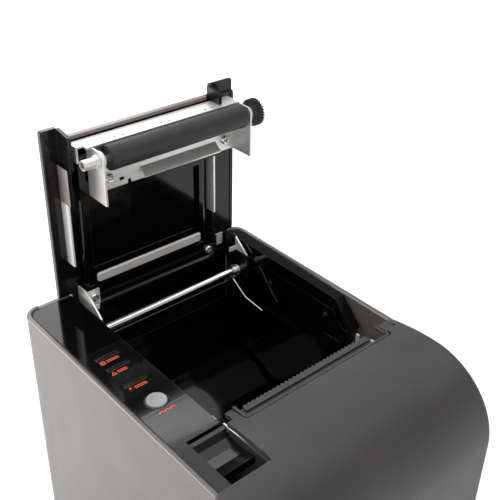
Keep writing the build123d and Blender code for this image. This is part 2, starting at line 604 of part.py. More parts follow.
export_step(lid_shell.part, "parts/lid_shell.step")

GUIDE_LEFT, GUIDE_RIGHT = -37.0, 43.4
STEP_LEFT, STEP_RIGHT = -38.2, 47.6
with BuildPart() as lid_inner_panel:
    # frame of the paper guide, with a sunken field in the middle
    between((GUIDE_LEFT, GUIDE_RIGHT), (BACK - 8.0, LID_IN), (DECK - 2, DECK + 57))
    fillet(lid_inner_panel.edges().filter_by(Axis.Z).group_by(Axis.Y)[0], 2.4)
    between((GUIDE_LEFT + 5.5, GUIDE_RIGHT - 4.8), (BACK - 9, BACK - 5.4), (DECK + 4, DECK + 54), Mode.SUBTRACT)
    # stepped ledges below it, down to the lid's lower end
    between((STEP_LEFT, STEP_RIGHT), (BACK - 9.4, LID_IN), (DECK - 11.5, DECK - 2))
    between((STEP_LEFT, NOTCH_RIGHT + 6), (BACK - 6.6, LID_IN), (DECK - 20, DECK - 11.5))
    between((STEP_LEFT, NOTCH_RIGHT + 6), (BACK - 4.4, LID_IN), (DECK - 33, DECK - 20))
    # shelf that carries the platen bracket
    between((EAR_LEFT - 5.2, NOTCH_RIGHT - RIB - 0.2), (BACK - 10, LID_IN), (DECK + 57, DECK + 82))
    between((GUIDE_LEFT + 4, GUIDE_RIGHT - 4), (BACK - 10, BACK - 6), (DECK + 67, DECK + 80), Mode.SUBTRACT)
lid_inner_panel.part.label = "lid_inner_panel"
export_step(lid_inner_panel.part, "parts/lid_inner_panel.step")

with BuildPart() as guide_bar:
    with BuildSketch(Plane.XZ.offset(-(BACK - 8.0))):
        with Locations(((-30.6 + 38.3) / 2, DECK + 8.6)):
            RectangleRounded(68.9, 5.4, 1.4)
    extrude(amount=1.3)
    fillet(guide_bar.edges().group_by(Axis.Y)[0], 0.6)
guide_bar.part.label = "guide_bar"
export_step(guide_bar.part, "parts/guide_bar.step")


ARM_SCREW_Z = DECK - 0.6
ARM_EYE = 5.5
STRAP_FRONT = BACK - 9.2
STRAP_LOW = 21.0
PAD_FRONT, PAD_BACK = BACK - 10.4, BACK - 9.5

# left arm: an eye round the shaft with a foot that takes the screw, and a strap up the lid
ARM_LEFT_X = -39.6
with BuildPart() as arm_left:
    side_plate(
        ARM_LEFT_X,
        [
            (HINGE_Y - ARM_EYE, HINGE_Z - ARM_EYE),
            (HINGE_Y + ARM_EYE, HINGE_Z - ARM_EYE),
            (BACK - 9.8, DECK - 12),
            (LID_IN, DECK - 9),
            (LID_IN, DECK + 4),
            (STRAP_FRONT, DECK + 4),
            (BACK - 14.4, DECK + 1.6),
            (HINGE_Y - ARM_EYE, DECK - 7),
        ],
        SHEET,
    )
    between((ARM_LEFT_X, ARM_LEFT_X + 8.4), (PAD_FRONT, PAD_BACK), (DECK - 6.5, DECK + 3.2))
    between((ARM_LEFT_X, ARM_LEFT_X + 5.4), (BACK - 14.6, BACK - 13.7), (DECK - 8.6, DECK - 3.6))
    between((STRAP_LEFT, STRAP_LEFT + SHEET), (STRAP_FRONT, LID_IN), (DECK + STRAP_LOW, DECK + STRAP_UP))
    rod("x", ARM_LEFT_X - 1, ARM_LEFT_X + 3, (HINGE_Y, HINGE_Z), SHAFT_R + RUNNING, Mode.SUBTRACT)
    rod("y", PAD_FRONT - 1, PAD_BACK + 1, (-35.0, ARM_SCREW_Z), SCREW_R, Mode.SUBTRACT)
arm_left.part.label = "arm_left"
export_step(arm_left.part, "parts/arm_left.step")

# right arm: the eye stands outboard on its own foot, and the strap runs beside the panel
ARM_RIGHT_X = 60.6
STRAP_RIGHT = (STEP_RIGHT + 0.4, STEP_RIGHT + 1.4)
with BuildPart() as arm_right:
    side_plate(
        ARM_RIGHT_X,
        [
            (HINGE_Y - ARM_EYE, HINGE_Z - ARM_EYE),
            (HINGE_Y + ARM_EYE, HINGE_Z - ARM_EYE),
            (LID_IN, DECK - 12),
            (LID_IN, DECK + 1.0),
            (BACK - 12.6, DECK + 3.2),
            (BACK - 14.4, DECK + 1.6),
            (HINGE_Y - ARM_EYE, DECK - 7),
        ],
        SHEET,
    )
    between((ARM_RIGHT_X - 7, ARM_RIGHT_X), (LID_IN - SHEET, LID_IN), (DECK - 11, DECK + 1.0))
    between((ARM_RIGHT_X - 5, ARM_RIGHT_X + SHEET), (BACK - 14.6, BACK - 13.7), (DECK - 8.6, DECK - 3.6))
    between((39.4, STRAP_RIGHT[1]), (PAD_FRONT, PAD_BACK), (DECK - 3.0, DECK + 1.8))
    between(STRAP_RIGHT, (PAD_FRONT, STRAP_FRONT), (DECK - 3.0, DECK + 6))
    between(STRAP_RIGHT, (STRAP_FRONT, LID_IN), (DECK + 3.4, DECK + 10))
    between(STRAP_RIGHT, (STRAP_FRONT, LID_IN), (DECK + STRAP_LOW, DECK + STRAP_UP))
    rod("x", ARM_RIGHT_X - 1, ARM_RIGHT_X + 3, (HINGE_Y, HINGE_Z), SHAFT_R + RUNNING, Mode.SUBTRACT)
    rod("y", PAD_FRONT - 1, PAD_BACK + 1, (42.0, ARM_SCREW_Z), SCREW_R, Mode.SUBTRACT)
arm_right.part.label = "arm_right"
export_step(arm_right.part, "parts/arm_right.step")

with BuildPart() as arm_screws:
    for x in (-35.0, 42.0):
        screw("y", (x, PAD_FRONT, ARM_SCREW_Z), BACK - 8.0, way=-1, r_head=2.5, h_head=2.0)
arm_screws.part.label = "arm_screws"
export_step(arm_screws.part, "parts/arm_screws.step")

# platen bracket: a channel of bright steel sheet with an ear at each end
PLATE_Y = BACK - 11.0
BRACKET_SCREW_X = (-20.5, 54.0)
with BuildPart() as platen_bracket:
    with BuildSketch(Plane.XZ.offset(-(PLATE_Y + SHEET))):
        with BuildLine():
            Polyline(
                (EAR_LEFT, DECK + 59.3),
                (-9.6, DECK + 59.3),
                (-9.2, DECK + 61.6),
                (-7.4, DECK + 61.6),
                (-7.0, DECK + 59.3),
                (EAR_RIGHT + SHEET, DECK + 59.3),
                (EAR_RIGHT + SHEET, DECK + FLANGE_UP),
                (EAR_LEFT, DECK + FLANGE_UP),
                close=True,
            )
        make_face()
        for x in (-3.2, 33.3):
            with Locations((x, DECK + 73)):
                Rectangle(7.4, 5, mode=Mode.SUBTRACT)
        with Locations((-12.9, DECK + 63)):
            Rectangle(3, 1.8, mode=Mode.SUBTRACT)
    extrude(amount=SHEET)
    # top flange towards the front, with three pairs of small holes
    between((EAR_LEFT, EAR_RIGHT + SHEET), (BACK - 15.4, BACK - 4.6), (DECK + 86.5, DECK + FLANGE_UP))
    between((EAR_LEFT - 6.5, EAR_LEFT), (BACK - 12.0, BACK - 4.6), (DECK + 86.5, DECK + FLANGE_UP))
    for x in (-14, 14, 42):
        for dx in (-2.4, 2.4):
            rod("z", DECK + 80, DECK + 90, (x + dx, BACK - 12.8), 0.7, Mode.SUBTRACT)
    # ears that carry the platen
    for x in (EAR_LEFT, EAR_RIGHT):
        side_plate(
            x,
            [
                (PLATE_Y + SHEET, DECK + 59.0),
                (BACK - 25.6, DECK + 59.0),
                (BACK - 25.6, DECK + 84.6),
                (BACK - 23.4, DECK + 86.8),
                (BACK - 17.4, DECK + 86.8),
                (PLATE_Y + SHEET, DECK + 86.8),
            ],
            SHEET,
        )
    # end plate and spring tab to the left of the left ear
    between((EAR_LEFT - 6.5, EAR_LEFT - 5.5), (BACK - 12.0, BACK - 4.6), (DECK + 79.0, DECK + FLANGE_UP))
    between((EAR_LEFT - 2.6, EAR_LEFT), (BACK - 15.4, BACK - 12.0), (DECK + 86.5, DECK + FLANGE_UP))
    # bright tongue bent out of the plate
    side_plate(
        -1.8,
        [
            (PLATE_Y, DECK + 66.4),
            (PLATE_Y, DECK + 65.4),
            (PLATE_Y - 4.6, DECK + 61.6),
            (PLATE_Y - 5.0, DECK + 62.5),
        ],
        49.5,
    )
    for x in (EAR_LEFT - 1, EAR_RIGHT - 1):
        rod("x", x, x + 3, (PLATEN_Y, PLATEN_Z), BUSH_R, Mode.SUBTRACT)
    for x in BRACKET_SCREW_X:
        rod("y", PLATE_Y - 1, PLATE_Y + 3, (x, DECK + 66), SCREW_R, Mode.SUBTRACT)
platen_bracket.part.label = "platen_bracket"
export_step(platen_bracket.part, "parts/platen_bracket.step")

with BuildPart() as bracket_screws:
    for x in BRACKET_SCREW_X:
        screw("y", (x, PLATE_Y, DECK + 66), PLATE_Y + SHEET, way=-1, r_head=2.7, h_head=2.0)
bracket_screws.part.label = "bracket_screws"
export_step(bracket_screws.part, "parts/bracket_screws.step")

# fixed cutter blade, held on the flange's lower face
with BuildPart() as fixed_blade:
    between((EAR_LEFT + 2, NOTCH_RIGHT - RIB - 0.5), (BACK - 9.8, BACK - 4.6), (DECK + 85.7, DECK + 86.5))
fixed_blade.part.label = "fixed_blade"
export_step(fixed_blade.part, "parts/fixed_blade.step")

with BuildPart() as platen_bushes:
    rod("x", -40.0, EAR_LEFT, (PLATEN_Y, PLATEN_Z), STUB_R)
    rod("x", EAR_LEFT - 1.4, EAR_LEFT + SHEET, (PLATEN_Y, PLATEN_Z), BUSH_R)
    rod("x", EAR_LEFT + SHEET, EAR_LEFT + SHEET + 1.2, (PLATEN_Y, PLATEN_Z), BUSH_R + 0.9)
    rod("x", EAR_RIGHT, 63.9, (PLATEN_Y, PLATEN_Z), BUSH_R)
    rod("x", -41, 65, (PLATEN_Y, PLATEN_Z), AXLE_R + RUNNING, Mode.SUBTRACT)
platen_bushes.part.label = "platen_bushes"
export_step(platen_bushes.part, "parts/platen_bushes.step")

# ---------------------------------------------------------------- platen
with BuildPart() as platen_shaft:
    rod("x", -38.6, GEAR_X + GEAR_W, (PLATEN_Y, PLATEN_Z), AXLE_R)
    chamfer(platen_shaft.edges().filter_by(GeomType.CIRCLE), 0.3)
platen_shaft.part.label = "platen_shaft"
export_step(platen_shaft.part, "parts/platen_shaft.step")

with BuildPart() as platen_rubber:
    rod("x", PLATEN_LEFT, PLATEN_RIGHT, (PLATEN_Y, PLATEN_Z), PLATEN_R)
    fillet(platen_rubber.edges().filter_by(GeomType.CIRCLE), 0.5)
    rod("x", PLATEN_LEFT, PLATEN_RIGHT, (PLATEN_Y, PLATEN_Z), AXLE_R, Mode.SUBTRACT)
platen_rubber.part.label = "platen_rubber"
export_step(platen_rubber.part, "parts/platen_rubber.step")

with BuildPart() as platen_gear:
    spur(x_plane(GEAR_X, PLATEN_Y, PLATEN_Z), PLATEN_TEETH, FEED_MODULE, GEAR_W, AXLE_R)
platen_gear.part.label = "platen_gear"
export_step(platen_gear.part, "parts/platen_gear.step")

# ---------------------------------------------------------------- print mechanism under the cover
MECH_BACK, MECH_FRONT = BACK - 112.0, BACK - 163.0
MECH_TOP, MECH_BOTTOM = DECK - 9.5, DECK - 62.0


def mech_side(x, seat):
    """A side plate of the mechanism with an open slot, seat in radius, for the platen's bush."""
    side_plate(
        x,
        [
            (MECH_FRONT, MECH_BOTTOM),
            (MECH_BACK - 2, MECH_BOTTOM),
            (MECH_BACK - 2, NIP_Z - 12),
            (MECH_BACK, NIP_Z - 6),
            (MECH_BACK, MECH_TOP - 3),
            (NIP_Y + seat, MECH_TOP - 3),
            (NIP_Y - seat, MECH_TOP - 1),
            (MECH_FRONT, MECH_TOP - 1),
        ],
        SHEET,
    )
    rod("x", x, x + SHEET, (NIP_Y, NIP_Z), seat, Mode.SUBTRACT)
    between((x, x + SHEET), (NIP_Y - seat, NIP_Y + seat), (NIP_Z, MECH_TOP + 2), Mode.SUBTRACT)


with BuildPart() as mech_frame:
    for x, bush_r in ((FRAME_LEFT, STUB_R), (FRAME_RIGHT, BUSH_R)):
        mech_side(x, bush_r + 0.3)
    between((FRAME_LEFT, FRAME_RIGHT + SHEET), (MECH_FRONT, MECH_BACK - 2), (MECH_BOTTOM, MECH_BOTTOM + SHEET))
    between((FRAME_LEFT, FRAME_RIGHT + SHEET), (MECH_FRONT, MECH_FRONT + SHEET), (MECH_BOTTOM, MECH_TOP - 2))
    between((FRAME_LEFT, FRAME_RIGHT + SHEET), (BACK - 131.0, BACK - 130.0), (DECK - 25, MECH_TOP - 2))
    for x in (FRAME_LEFT, FRAME_RIGHT):
        rod("x", x, x + SHEET, (LATCH_Y, LATCH_Z), SHAFT_R + RUNNING, Mode.SUBTRACT)
        rod("x", x, x + SHEET, (BACK - 128.4, DECK - 27.5), 1.5 + RUNNING, Mode.SUBTRACT)
    rod("x", FRAME_RIGHT, FRAME_RIGHT + SHEET, (PINION_Y, PINION_Z), 1.2, Mode.SUBTRACT)
    rod("x", FRAME_RIGHT, FRAME_RIGHT + SHEET, (IDLER_Y, IDLER_Z), 1.5, Mode.SUBTRACT)
mech_frame.part.label = "mech_frame"
export_step(mech_frame.part, "parts/mech_frame.step")

HEAD_Y, HEAD_Z = BACK - 128.4, DECK - 27.5
with BuildPart() as head_sink:
    between((FRAME_LEFT + 4, FRAME_RIGHT - 4), (BACK - 128.4, BACK - 125.4), (DECK - 27.5, DECK - 10.6))
    rod("x", FRAME_LEFT, FRAME_RIGHT + SHEET, (HEAD_Y, HEAD_Z), 1.5)
head_sink.part.label = "head_sink"
export_step(head_sink.part, "parts/head_sink.step")

with BuildPart() as thermal_head:
    between((FRAME_LEFT + 8, FRAME_RIGHT - 3), (BACK - 125.4, BACK - 124.7), (DECK - 26, DECK - 10.6))
thermal_head.part.label = "thermal_head"
export_step(thermal_head.part, "parts/thermal_head.step")

with BuildPart() as head_springs:
    for x in (-10.0, 34.0):
        rod("y", BACK - 130.0, BACK - 129.0, (x, DECK - 16), 2.6)
head_springs.part.label = "head_springs"
export_step(head_springs.part, "parts/head_springs.step")

with BuildPart() as paper_chute:
    side_plate(
        FRAME_LEFT + 1.6,
        [
            (BACK - 110.2, DECK - 31),
            (BACK - 122.8, DECK - 26.2),
            (BACK - 122.8, DECK - 28.6),
            (BACK - 112, DECK - 37),
            (BACK - 110.2, DECK - 37),
        ],
        FRAME_RIGHT - FRAME_LEFT - 2.2,
    )
paper_chute.part.label = "paper_chute"
export_step(paper_chute.part, "parts/paper_chute.step")

MOTOR_R = 13.5
with BuildPart() as feed_motor:
    rod("x", FRAME_RIGHT - 27, FRAME_RIGHT, (PINION_Y, PINION_Z), MOTOR_R)
    rod("x", FRAME_RIGHT, GEAR_X + GEAR_W - 0.6, (PINION_Y, PINION_Z), 1.0)
feed_motor.part.label = "feed_motor"
export_step(feed_motor.part, "parts/feed_motor.step")

# the pinion's tooth gap faces the idler's tooth on the line of centres
with BuildPart() as motor_pinion:
    spur(
        x_plane(GEAR_X, PINION_Y, PINION_Z, PINION_ANGLE + pi + pi / PINION_TEETH),
        PINION_TEETH,
        FEED_MODULE,
        GEAR_W,
        1.0 + RUNNING,
    )
motor_pinion.part.label = "motor_pinion"
export_step(motor_pinion.part, "parts/motor_pinion.step")

with BuildPart() as idler_gear:
    spur(x_plane(GEAR_X, IDLER_Y, IDLER_Z, PINION_ANGLE), IDLER_TEETH, FEED_MODULE, GEAR_W - 0.4, 1.5 + RUNNING)
idler_gear.part.label = "idler_gear"
export_step(idler_gear.part, "parts/idler_gear.step")

with BuildPart() as idler_pin:
    rod("x", FRAME_RIGHT, GEAR_X + GEAR_W + 0.2, (IDLER_Y, IDLER_Z), 1.5)
idler_pin.part.label = "idler_pin"
export_step(idler_pin.part, "parts/idler_pin.step")

# ---------------------------------------------------------------- cutter
BASE_LEFT, BASE_RIGHT = -34.0, 48.6
with BuildPart() as cutter_base:
    between((BASE_LEFT, BASE_RIGHT), (BACK - 160, BACK - 128.6), (DECK - 8, BLADE_Z - 0.1))
    for x in (BASE_LEFT, BASE_RIGHT - 2):
        between((x, x + 2), (BACK - 158, BACK - 130), (BLADE_Z - 0.1, BLADE_Z + 1.2))
    rod("z", DECK - 9, BLADE_Z + 1, (CUT_X, CUT_Y), 1.6, Mode.SUBTRACT)
cutter_base.part.label = "cutter_base"
export_step(cutter_base.part, "parts/cutter_base.step")

BLADE_TRAVEL = 7.0
CUT_PITCH_R = CUT_MODULE * CUT_TEETH / 2
RACK_X = CUT_X + CUT_PITCH_R
RACK_PITCH = pi * CUT_MODULE
WINDOW_BACK, WINDOW_FRONT = CUT_Y + 7.0, CUT_Y - 7.4 - BLADE_TRAVEL


def rack_points():
    """Teeth on the window's right edge; a gap faces the gear's tooth at rest."""
    half_tip = RACK_PITCH / 4 - CUT_MODULE * tan(radians(20)) - 0.05
    half_root = RACK_PITCH / 4 + 1.2 * CUT_MODULE * tan(radians(20)) - 0.05
    points = []
    for k in range(-5, 2):
        y = CUT_Y + (k + 0.5) * RACK_PITCH
        points += [
            (RACK_X + 1.2 * CUT_MODULE, y - half_root),
            (RACK_X - CUT_MODULE, y - half_tip),
            (RACK_X - CUT_MODULE, y + half_tip),
            (RACK_X + 1.2 * CUT_MODULE, y + half_root),
        ]
    return points


with BuildPart() as moving_blade:
    with BuildSketch(Plane.XY.offset(BLADE_Z)):
        with BuildLine():
            Polyline(
                (BASE_LEFT + 2.3, BACK - 156),
                (BASE_RIGHT - 2.3, BACK - 156),
                (BASE_RIGHT - 2.3, BACK - 127.6),
                ((BASE_LEFT + BASE_RIGHT) / 2, BACK - 129.0),
                (BASE_LEFT + 2.3, BACK - 127.6),
                close=True,
            )
        make_face()
        with BuildLine():
            Polyline(
                (CUT_X - 8.5, WINDOW_BACK),
                (CUT_X - 8.5, WINDOW_FRONT),
                (RACK_X + 1.2 * CUT_MODULE, WINDOW_FRONT),
                *rack_points(),
                (RACK_X + 1.2 * CUT_MODULE, WINDOW_BACK),
                close=True,
            )
        make_face(mode=Mode.SUBTRACT)
    extrude(amount=0.8)
moving_blade.part.label = "moving_blade"
export_step(moving_blade.part, "parts/moving_blade.step")

with BuildPart() as cutter_gear:
    spur(Plane(origin=(CUT_X, CUT_Y, BLADE_Z), z_dir=(0, 0, 1)), CUT_TEETH, CUT_MODULE, 0.8, 1.0)
    rod("z", DECK - 7.6, BLADE_Z + 0.8, (CUT_X, CUT_Y), 1.0)
cutter_gear.part.label = "cutter_gear"
export_step(cutter_gear.part, "parts/cutter_gear.step")

with BuildPart() as cutter_motor:
    rod("z", DECK - 28, DECK - 8, (CUT_X, CUT_Y), 6.6)
    rod("z", DECK - 8, DECK - 7.7, (CUT_X, CUT_Y), 1.5)
cutter_motor.part.label = "cutter_motor"
export_step(cutter_motor.part, "parts/cutter_motor.step")

# ---------------------------------------------------------------- latch
with BuildPart() as latch_shaft:
    rod("x", LEVER_LEFT + 1, FRAME_RIGHT + 2 * SHEET + 0.2, (LATCH_Y, LATCH_Z), SHAFT_R)
latch_shaft.part.label = "latch_shaft"
export_step(latch_shaft.part, "parts/latch_shaft.step")

# one hook outside each side plate, with its beak over the closed lid's bush
with BuildPart() as latch_hooks:
    for x, bush_r in ((FRAME_LEFT - SHEET - 0.4, STUB_R), (FRAME_RIGHT + SHEET + 0.2, BUSH_R)):
        beak = NIP_Z + bush_r + 0.35
        side_plate(
            x,
            [
                (LATCH_Y - 3.5, LATCH_Z - 4),
                (LATCH_Y + 4.5, LATCH_Z - 4),
                (LATCH_Y + 4.5, LATCH_Z + 5),
                (NIP_Y - 1.6, NIP_Z - 8.6),
                (NIP_Y - 4.0, NIP_Z - 3.6),
                (NIP_Y - 4.0, beak),
                (NIP_Y - 1.6, beak),
                (NIP_Y - 1.6, beak + 0.6),
                (NIP_Y - 4.0, beak + 2.6),
                (NIP_Y - 7.4, beak + 2.6),
                (NIP_Y - 7.4, NIP_Z - 3.6),
                (NIP_Y - 4.7, NIP_Z - 13.6),
                (NIP_Y - 4.7, NIP_Z - 18.6),
                (LATCH_Y - 3.5, LATCH_Z + 3),
            ],
            SHEET,
        )
        rod("x", x, x + SHEET, (LATCH_Y, LATCH_Z), SHAFT_R, Mode.SUBTRACT)
latch_hooks.part.label = "latch_hooks"
export_step(latch_hooks.part, "parts/latch_hooks.step")

LEVER_TOP = DECK - 0.4
LEVER_BACK, LEVER_NOSE = BACK - 128.8, BACK - 152.0
with BuildPart() as release_lever:
    # finger pad: a raised rear lip, then a shallow hollow
    side_plate(
        LEVER_LEFT,
        [
            (LEVER_BACK, LEVER_TOP - 4.5),
            (LEVER_BACK, LEVER_TOP - 1.2),
            (LEVER_BACK - 1.2, LEVER_TOP),
            (LEVER_BACK - 3.4, LEVER_TOP),
            (LEVER_BACK - 6.0, LEVER_TOP - 2.4),
            (LEVER_BACK - 11.0, LEVER_TOP - 3.4),
            (LEVER_BACK - 17.0, LEVER_TOP - 2.8),
            (LEVER_NOSE, LEVER_TOP - 0.8),
            (LEVER_NOSE, LEVER_TOP - 5.2),
            (LEVER_BACK - 11.0, LEVER_TOP - 6.0),
        ],
        LEVER_RIGHT - LEVER_LEFT,
    )
    # web down to the latch shaft
    side_plate(
        -58,
        [
            (LATCH_Y - 5, LATCH_Z),
            (LATCH_Y + 4, LATCH_Z + 3),
            (LEVER_BACK - 3, LEVER_TOP - 4),
            (LEVER_BACK - 14, LEVER_TOP - 4),
            (LEVER_BACK - 14, LEVER_TOP - 12),
        ],
        8,
    )
    rod("x", -58, -50, (LATCH_Y, LATCH_Z), 5)
    rod("x", LEVER_LEFT, LEVER_RIGHT, (LATCH_Y, LATCH_Z), SHAFT_R, Mode.SUBTRACT)
release_lever.part.label = "release_lever"
export_step(release_lever.part, "parts/release_lever.step")

with BuildPart() as latch_spring:
    for i in range(4):
        with Locations(Location((-47.4 + i * 0.98, LATCH_Y, LATCH_Z), (0, 90, 0))):
            Torus(3.4, WIRE_R)
    rod("x", -47.4, -47.4 + 3 * 0.98, (LATCH_Y, LATCH_Z + 3.4), WIRE_R * 0.9)
latch_spring.part.label = "latch_spring"
export_step(latch_spring.part, "parts/latch_spring.step")

# ---------------------------------------------------------------- electronics and rear ports
BOARD_Z = 22.0
with BuildPart() as main_board:
    between((-54, 46), (BACK - 50, BACK - 4), (BOARD_Z, BOARD_Z + 1.6))
    between((-4, 12), (BACK - 46, BACK - 30), (BOARD_Z + 1.6, BOARD_Z + 3.2))
    between((20, 42), (BACK - 46, BACK - 40), (BOARD_Z + 1.6, BOARD_Z + 5.6))
    rod("z", BOARD_Z + 1.6, BOARD_Z + 11.6, (-30, BACK - 38), 5)
    rod("z", BOARD_Z - 17.7, BOARD_Z, (-48, BACK - 40), 3)
    rod("z", BOARD_Z - 17.7, BOARD_Z, (40, BACK - 30), 3)
main_board.part.label = "main_board"
export_step(main_board.part, "parts/main_board.step")

dc, usb, drawer, lan = PORTS
PORT_FACE = BACK - 0.4
PORT_BASE = BOARD_Z + 1.6
with BuildPart() as dc_jack:
    between((dc[1] - dc[2] / 2, dc[1] + dc[2] / 2), (BACK - 16, PORT_FACE), (PORT_BASE, PORT_Z + dc[3]))
    rod("y", BACK - 12, BACK, (dc[1], PORT_Z + 6), 3.2, Mode.SUBTRACT)
    rod("y", BACK - 12, BACK - 7, (dc[1], PORT_Z + 6), 1.1)
dc_jack.part.label = "dc_jack"
export_step(dc_jack.part, "parts/dc_jack.step")

with BuildPart() as usb_port:
    between((usb[1] - usb[2] / 2, usb[1] + usb[2] / 2), (BACK - 18, PORT_FACE), (PORT_BASE, PORT_Z + usb[3]))
    between((usb[1] - 4.4, usb[1] + 4.4), (BACK - 11, BACK), (PORT_Z + 2.2, PORT_Z + 10), Mode.SUBTRACT)
    between((usb[1] - 2.6, usb[1] + 2.6), (BACK - 11, BACK - 7), (PORT_Z + 4.6, PORT_Z + 7.6))
usb_port.part.label = "usb_port"
export_step(usb_port.part, "parts/usb_port.step")

with BuildPart() as drawer_port:
    between((drawer[1] - 7, drawer[1] + 7), (BACK - 18, PORT_FACE), (PORT_BASE, PORT_Z + drawer[3]))
    between((drawer[1] - 5, drawer[1] + 5), (BACK - 13, BACK), (PORT_Z + 2, PORT_Z + 9), Mode.SUBTRACT)
    between((drawer[1] - 2.2, drawer[1] + 2.2), (BACK - 13, BACK), (PORT_Z + 9, PORT_Z + 11), Mode.SUBTRACT)
drawer_port.part.label = "drawer_port"
export_step(drawer_port.part, "parts/drawer_port.step")

with BuildPart() as lan_port:
    between((lan[1] - lan[2] / 2, lan[1] + lan[2] / 2), (BACK - 20, PORT_FACE), (PORT_BASE, PORT_Z + lan[3]))
    between((lan[1] - 6, lan[1] + 6), (BACK - 14, BACK), (PORT_Z + 2.2, PORT_Z + 9.6), Mode.SUBTRACT)
    between((lan[1] - 3, lan[1] + 3), (BACK - 14, BACK), (PORT_Z + 9.6, PORT_Z + 12), Mode.SUBTRACT)
lan_port.part.label = "lan_port"
export_step(lan_port.part, "parts/lan_port.step")

ROCKER_X = SIDE - 4.5
ROCKER_TILT = radians(8)
with BuildPart() as switch_housing:
    between((SIDE - 12, SIDE), (SWITCH_Y - 10, SWITCH_Y + 10), (SWITCH_Z - 7, SWITCH_Z + 7))
    between((SIDE - 9.5, SIDE + 1), (SWITCH_Y - 8, SWITCH_Y + 8), (SWITCH_Z - 5, SWITCH_Z + 5), Mode.SUBTRACT)
    rod("z", SWITCH_Z - 6, SWITCH_Z + 6, (ROCKER_X, SWITCH_Y), 1.2 + RUNNING, Mode.SUBTRACT)
switch_housing.part.label = "switch_housing"
export_step(switch_housing.part, "parts/switch_housing.step")

# the rocker rests with its rear half pressed in
with BuildPart() as power_rocker:
    tilted = Plane(
        origin=(ROCKER_X, SWITCH_Y, SWITCH_Z - 4.7),
        x_dir=(cos(ROCKER_TILT), -sin(ROCKER_TILT), 0),
        z_dir=(0, 0, 1),
    )
    with BuildSketch(tilted):
        with BuildLine():
            Polyline((3.4, -7.3), (2.2, 0), (3.4, 7.3), (1.0, 7.3), (-2.6, 2.4), (-2.6, -2.4), (1.0, -7.3), close=True)
        make_face()
    extrude(amount=9.4)
    rod("z", SWITCH_Z - 5.8, SWITCH_Z + 5.8, (ROCKER_X, SWITCH_Y), 1.2)
power_rocker.part.label = "power_rocker"
export_step(power_rocker.part, "parts/power_rocker.step")
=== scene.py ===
import json
from math import cos, pi, radians, sin

import bmesh
import bpy
from mathutils import Matrix, Vector


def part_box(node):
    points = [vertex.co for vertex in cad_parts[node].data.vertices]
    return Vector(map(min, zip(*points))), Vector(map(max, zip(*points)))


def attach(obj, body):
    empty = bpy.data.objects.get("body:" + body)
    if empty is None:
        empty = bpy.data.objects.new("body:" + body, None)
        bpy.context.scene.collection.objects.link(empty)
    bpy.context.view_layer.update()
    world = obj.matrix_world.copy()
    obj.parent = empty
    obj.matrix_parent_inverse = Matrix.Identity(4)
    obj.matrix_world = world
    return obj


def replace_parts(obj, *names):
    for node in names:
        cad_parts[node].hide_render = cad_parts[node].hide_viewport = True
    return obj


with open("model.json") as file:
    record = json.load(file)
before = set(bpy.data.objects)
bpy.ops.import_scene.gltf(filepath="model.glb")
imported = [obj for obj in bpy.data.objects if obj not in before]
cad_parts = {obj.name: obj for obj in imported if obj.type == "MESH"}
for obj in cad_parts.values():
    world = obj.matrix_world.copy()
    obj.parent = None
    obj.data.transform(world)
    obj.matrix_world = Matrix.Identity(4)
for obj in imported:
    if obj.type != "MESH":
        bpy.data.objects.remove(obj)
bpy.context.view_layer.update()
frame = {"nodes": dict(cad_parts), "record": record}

MM = 0.001
BLACK = (0.0, 0.0, 0.0)
BEVEL_SAMPLES = 4


# ------------------------------------------------------------------ places read from the frame
def low(node):
    return Vector(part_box(node)[0])


def high(node):
    return Vector(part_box(node)[1])


def middle(node):
    return (low(node) + high(node)) / 2


def hinge_place(joint):
    """A joint's place in metres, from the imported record."""
    for item in frame["record"]["behaviour"]["joints"]:
        if item["name"] == joint:
            return Vector(item["pos_m"])


DECK = high("top_deck").z
BACK = high("lid_shell").y


# ------------------------------------------------------------------ material helpers
def new_material(name):
    material = bpy.data.materials.new(name)
    material.use_nodes = True
    nodes = material.node_tree.nodes
    nodes.clear()
    shader = nodes.new("ShaderNodeBsdfPrincipled")
    output = nodes.new("ShaderNodeOutputMaterial")
    material.node_tree.links.new(shader.outputs["BSDF"], output.inputs["Surface"])
    return material, shader


def place_coordinates(tree, stretch=(1, 1, 1)):
    """Object coordinates, which are metres in the shared frame, stretched per axis."""
    coords = tree.nodes.new("ShaderNodeTexCoord")
    mapping = tree.nodes.new("ShaderNodeMapping")
    mapping.inputs["Scale"].default_value = stretch
    tree.links.new(coords.outputs["Object"], mapping.inputs["Vector"])
    return mapping.outputs["Vector"]


def noise(tree, where, scale, detail=3.0, roughness=0.5):
    node = tree.nodes.new("ShaderNodeTexNoise")
    node.inputs["Scale"].default_value = scale
    node.inputs["Detail"].default_value = detail
    node.inputs["Roughness"].default_value = roughness
    tree.links.new(where, node.inputs["Vector"])
    return node.outputs["Fac"]


def ramp(tree, value, stops):
    """A colour ramp; stops are (position, grey or colour)."""
    node = tree.nodes.new("ShaderNodeValToRGB")
    elements = node.color_ramp.elements
    while len(elements) < len(stops):
        elements.new(0.5)
    for element, (position, colour) in zip(elements, stops):
        element.position = position
        rgb = colour if isinstance(colour, tuple) else (colour, colour, colour)
        element.color = (*rgb, 1)
    tree.links.new(value, node.inputs["Fac"])
    return node.outputs["Color"]


def mix(tree, factor, first, second, kind="MIX"):
    node = tree.nodes.new("ShaderNodeMix")
    node.data_type = "RGBA"
    node.blend_type = kind
    for name, value in (("Factor", factor), ("A", first), ("B", second)):
        socket = node.inputs[name]
        if isinstance(value, bpy.types.NodeSocket):
            tree.links.new(value, socket)
        elif isinstance(value, tuple):
            socket.default_value = (*value, 1)
        else:
            socket.default_value = value
    return node.outputs["Result"]


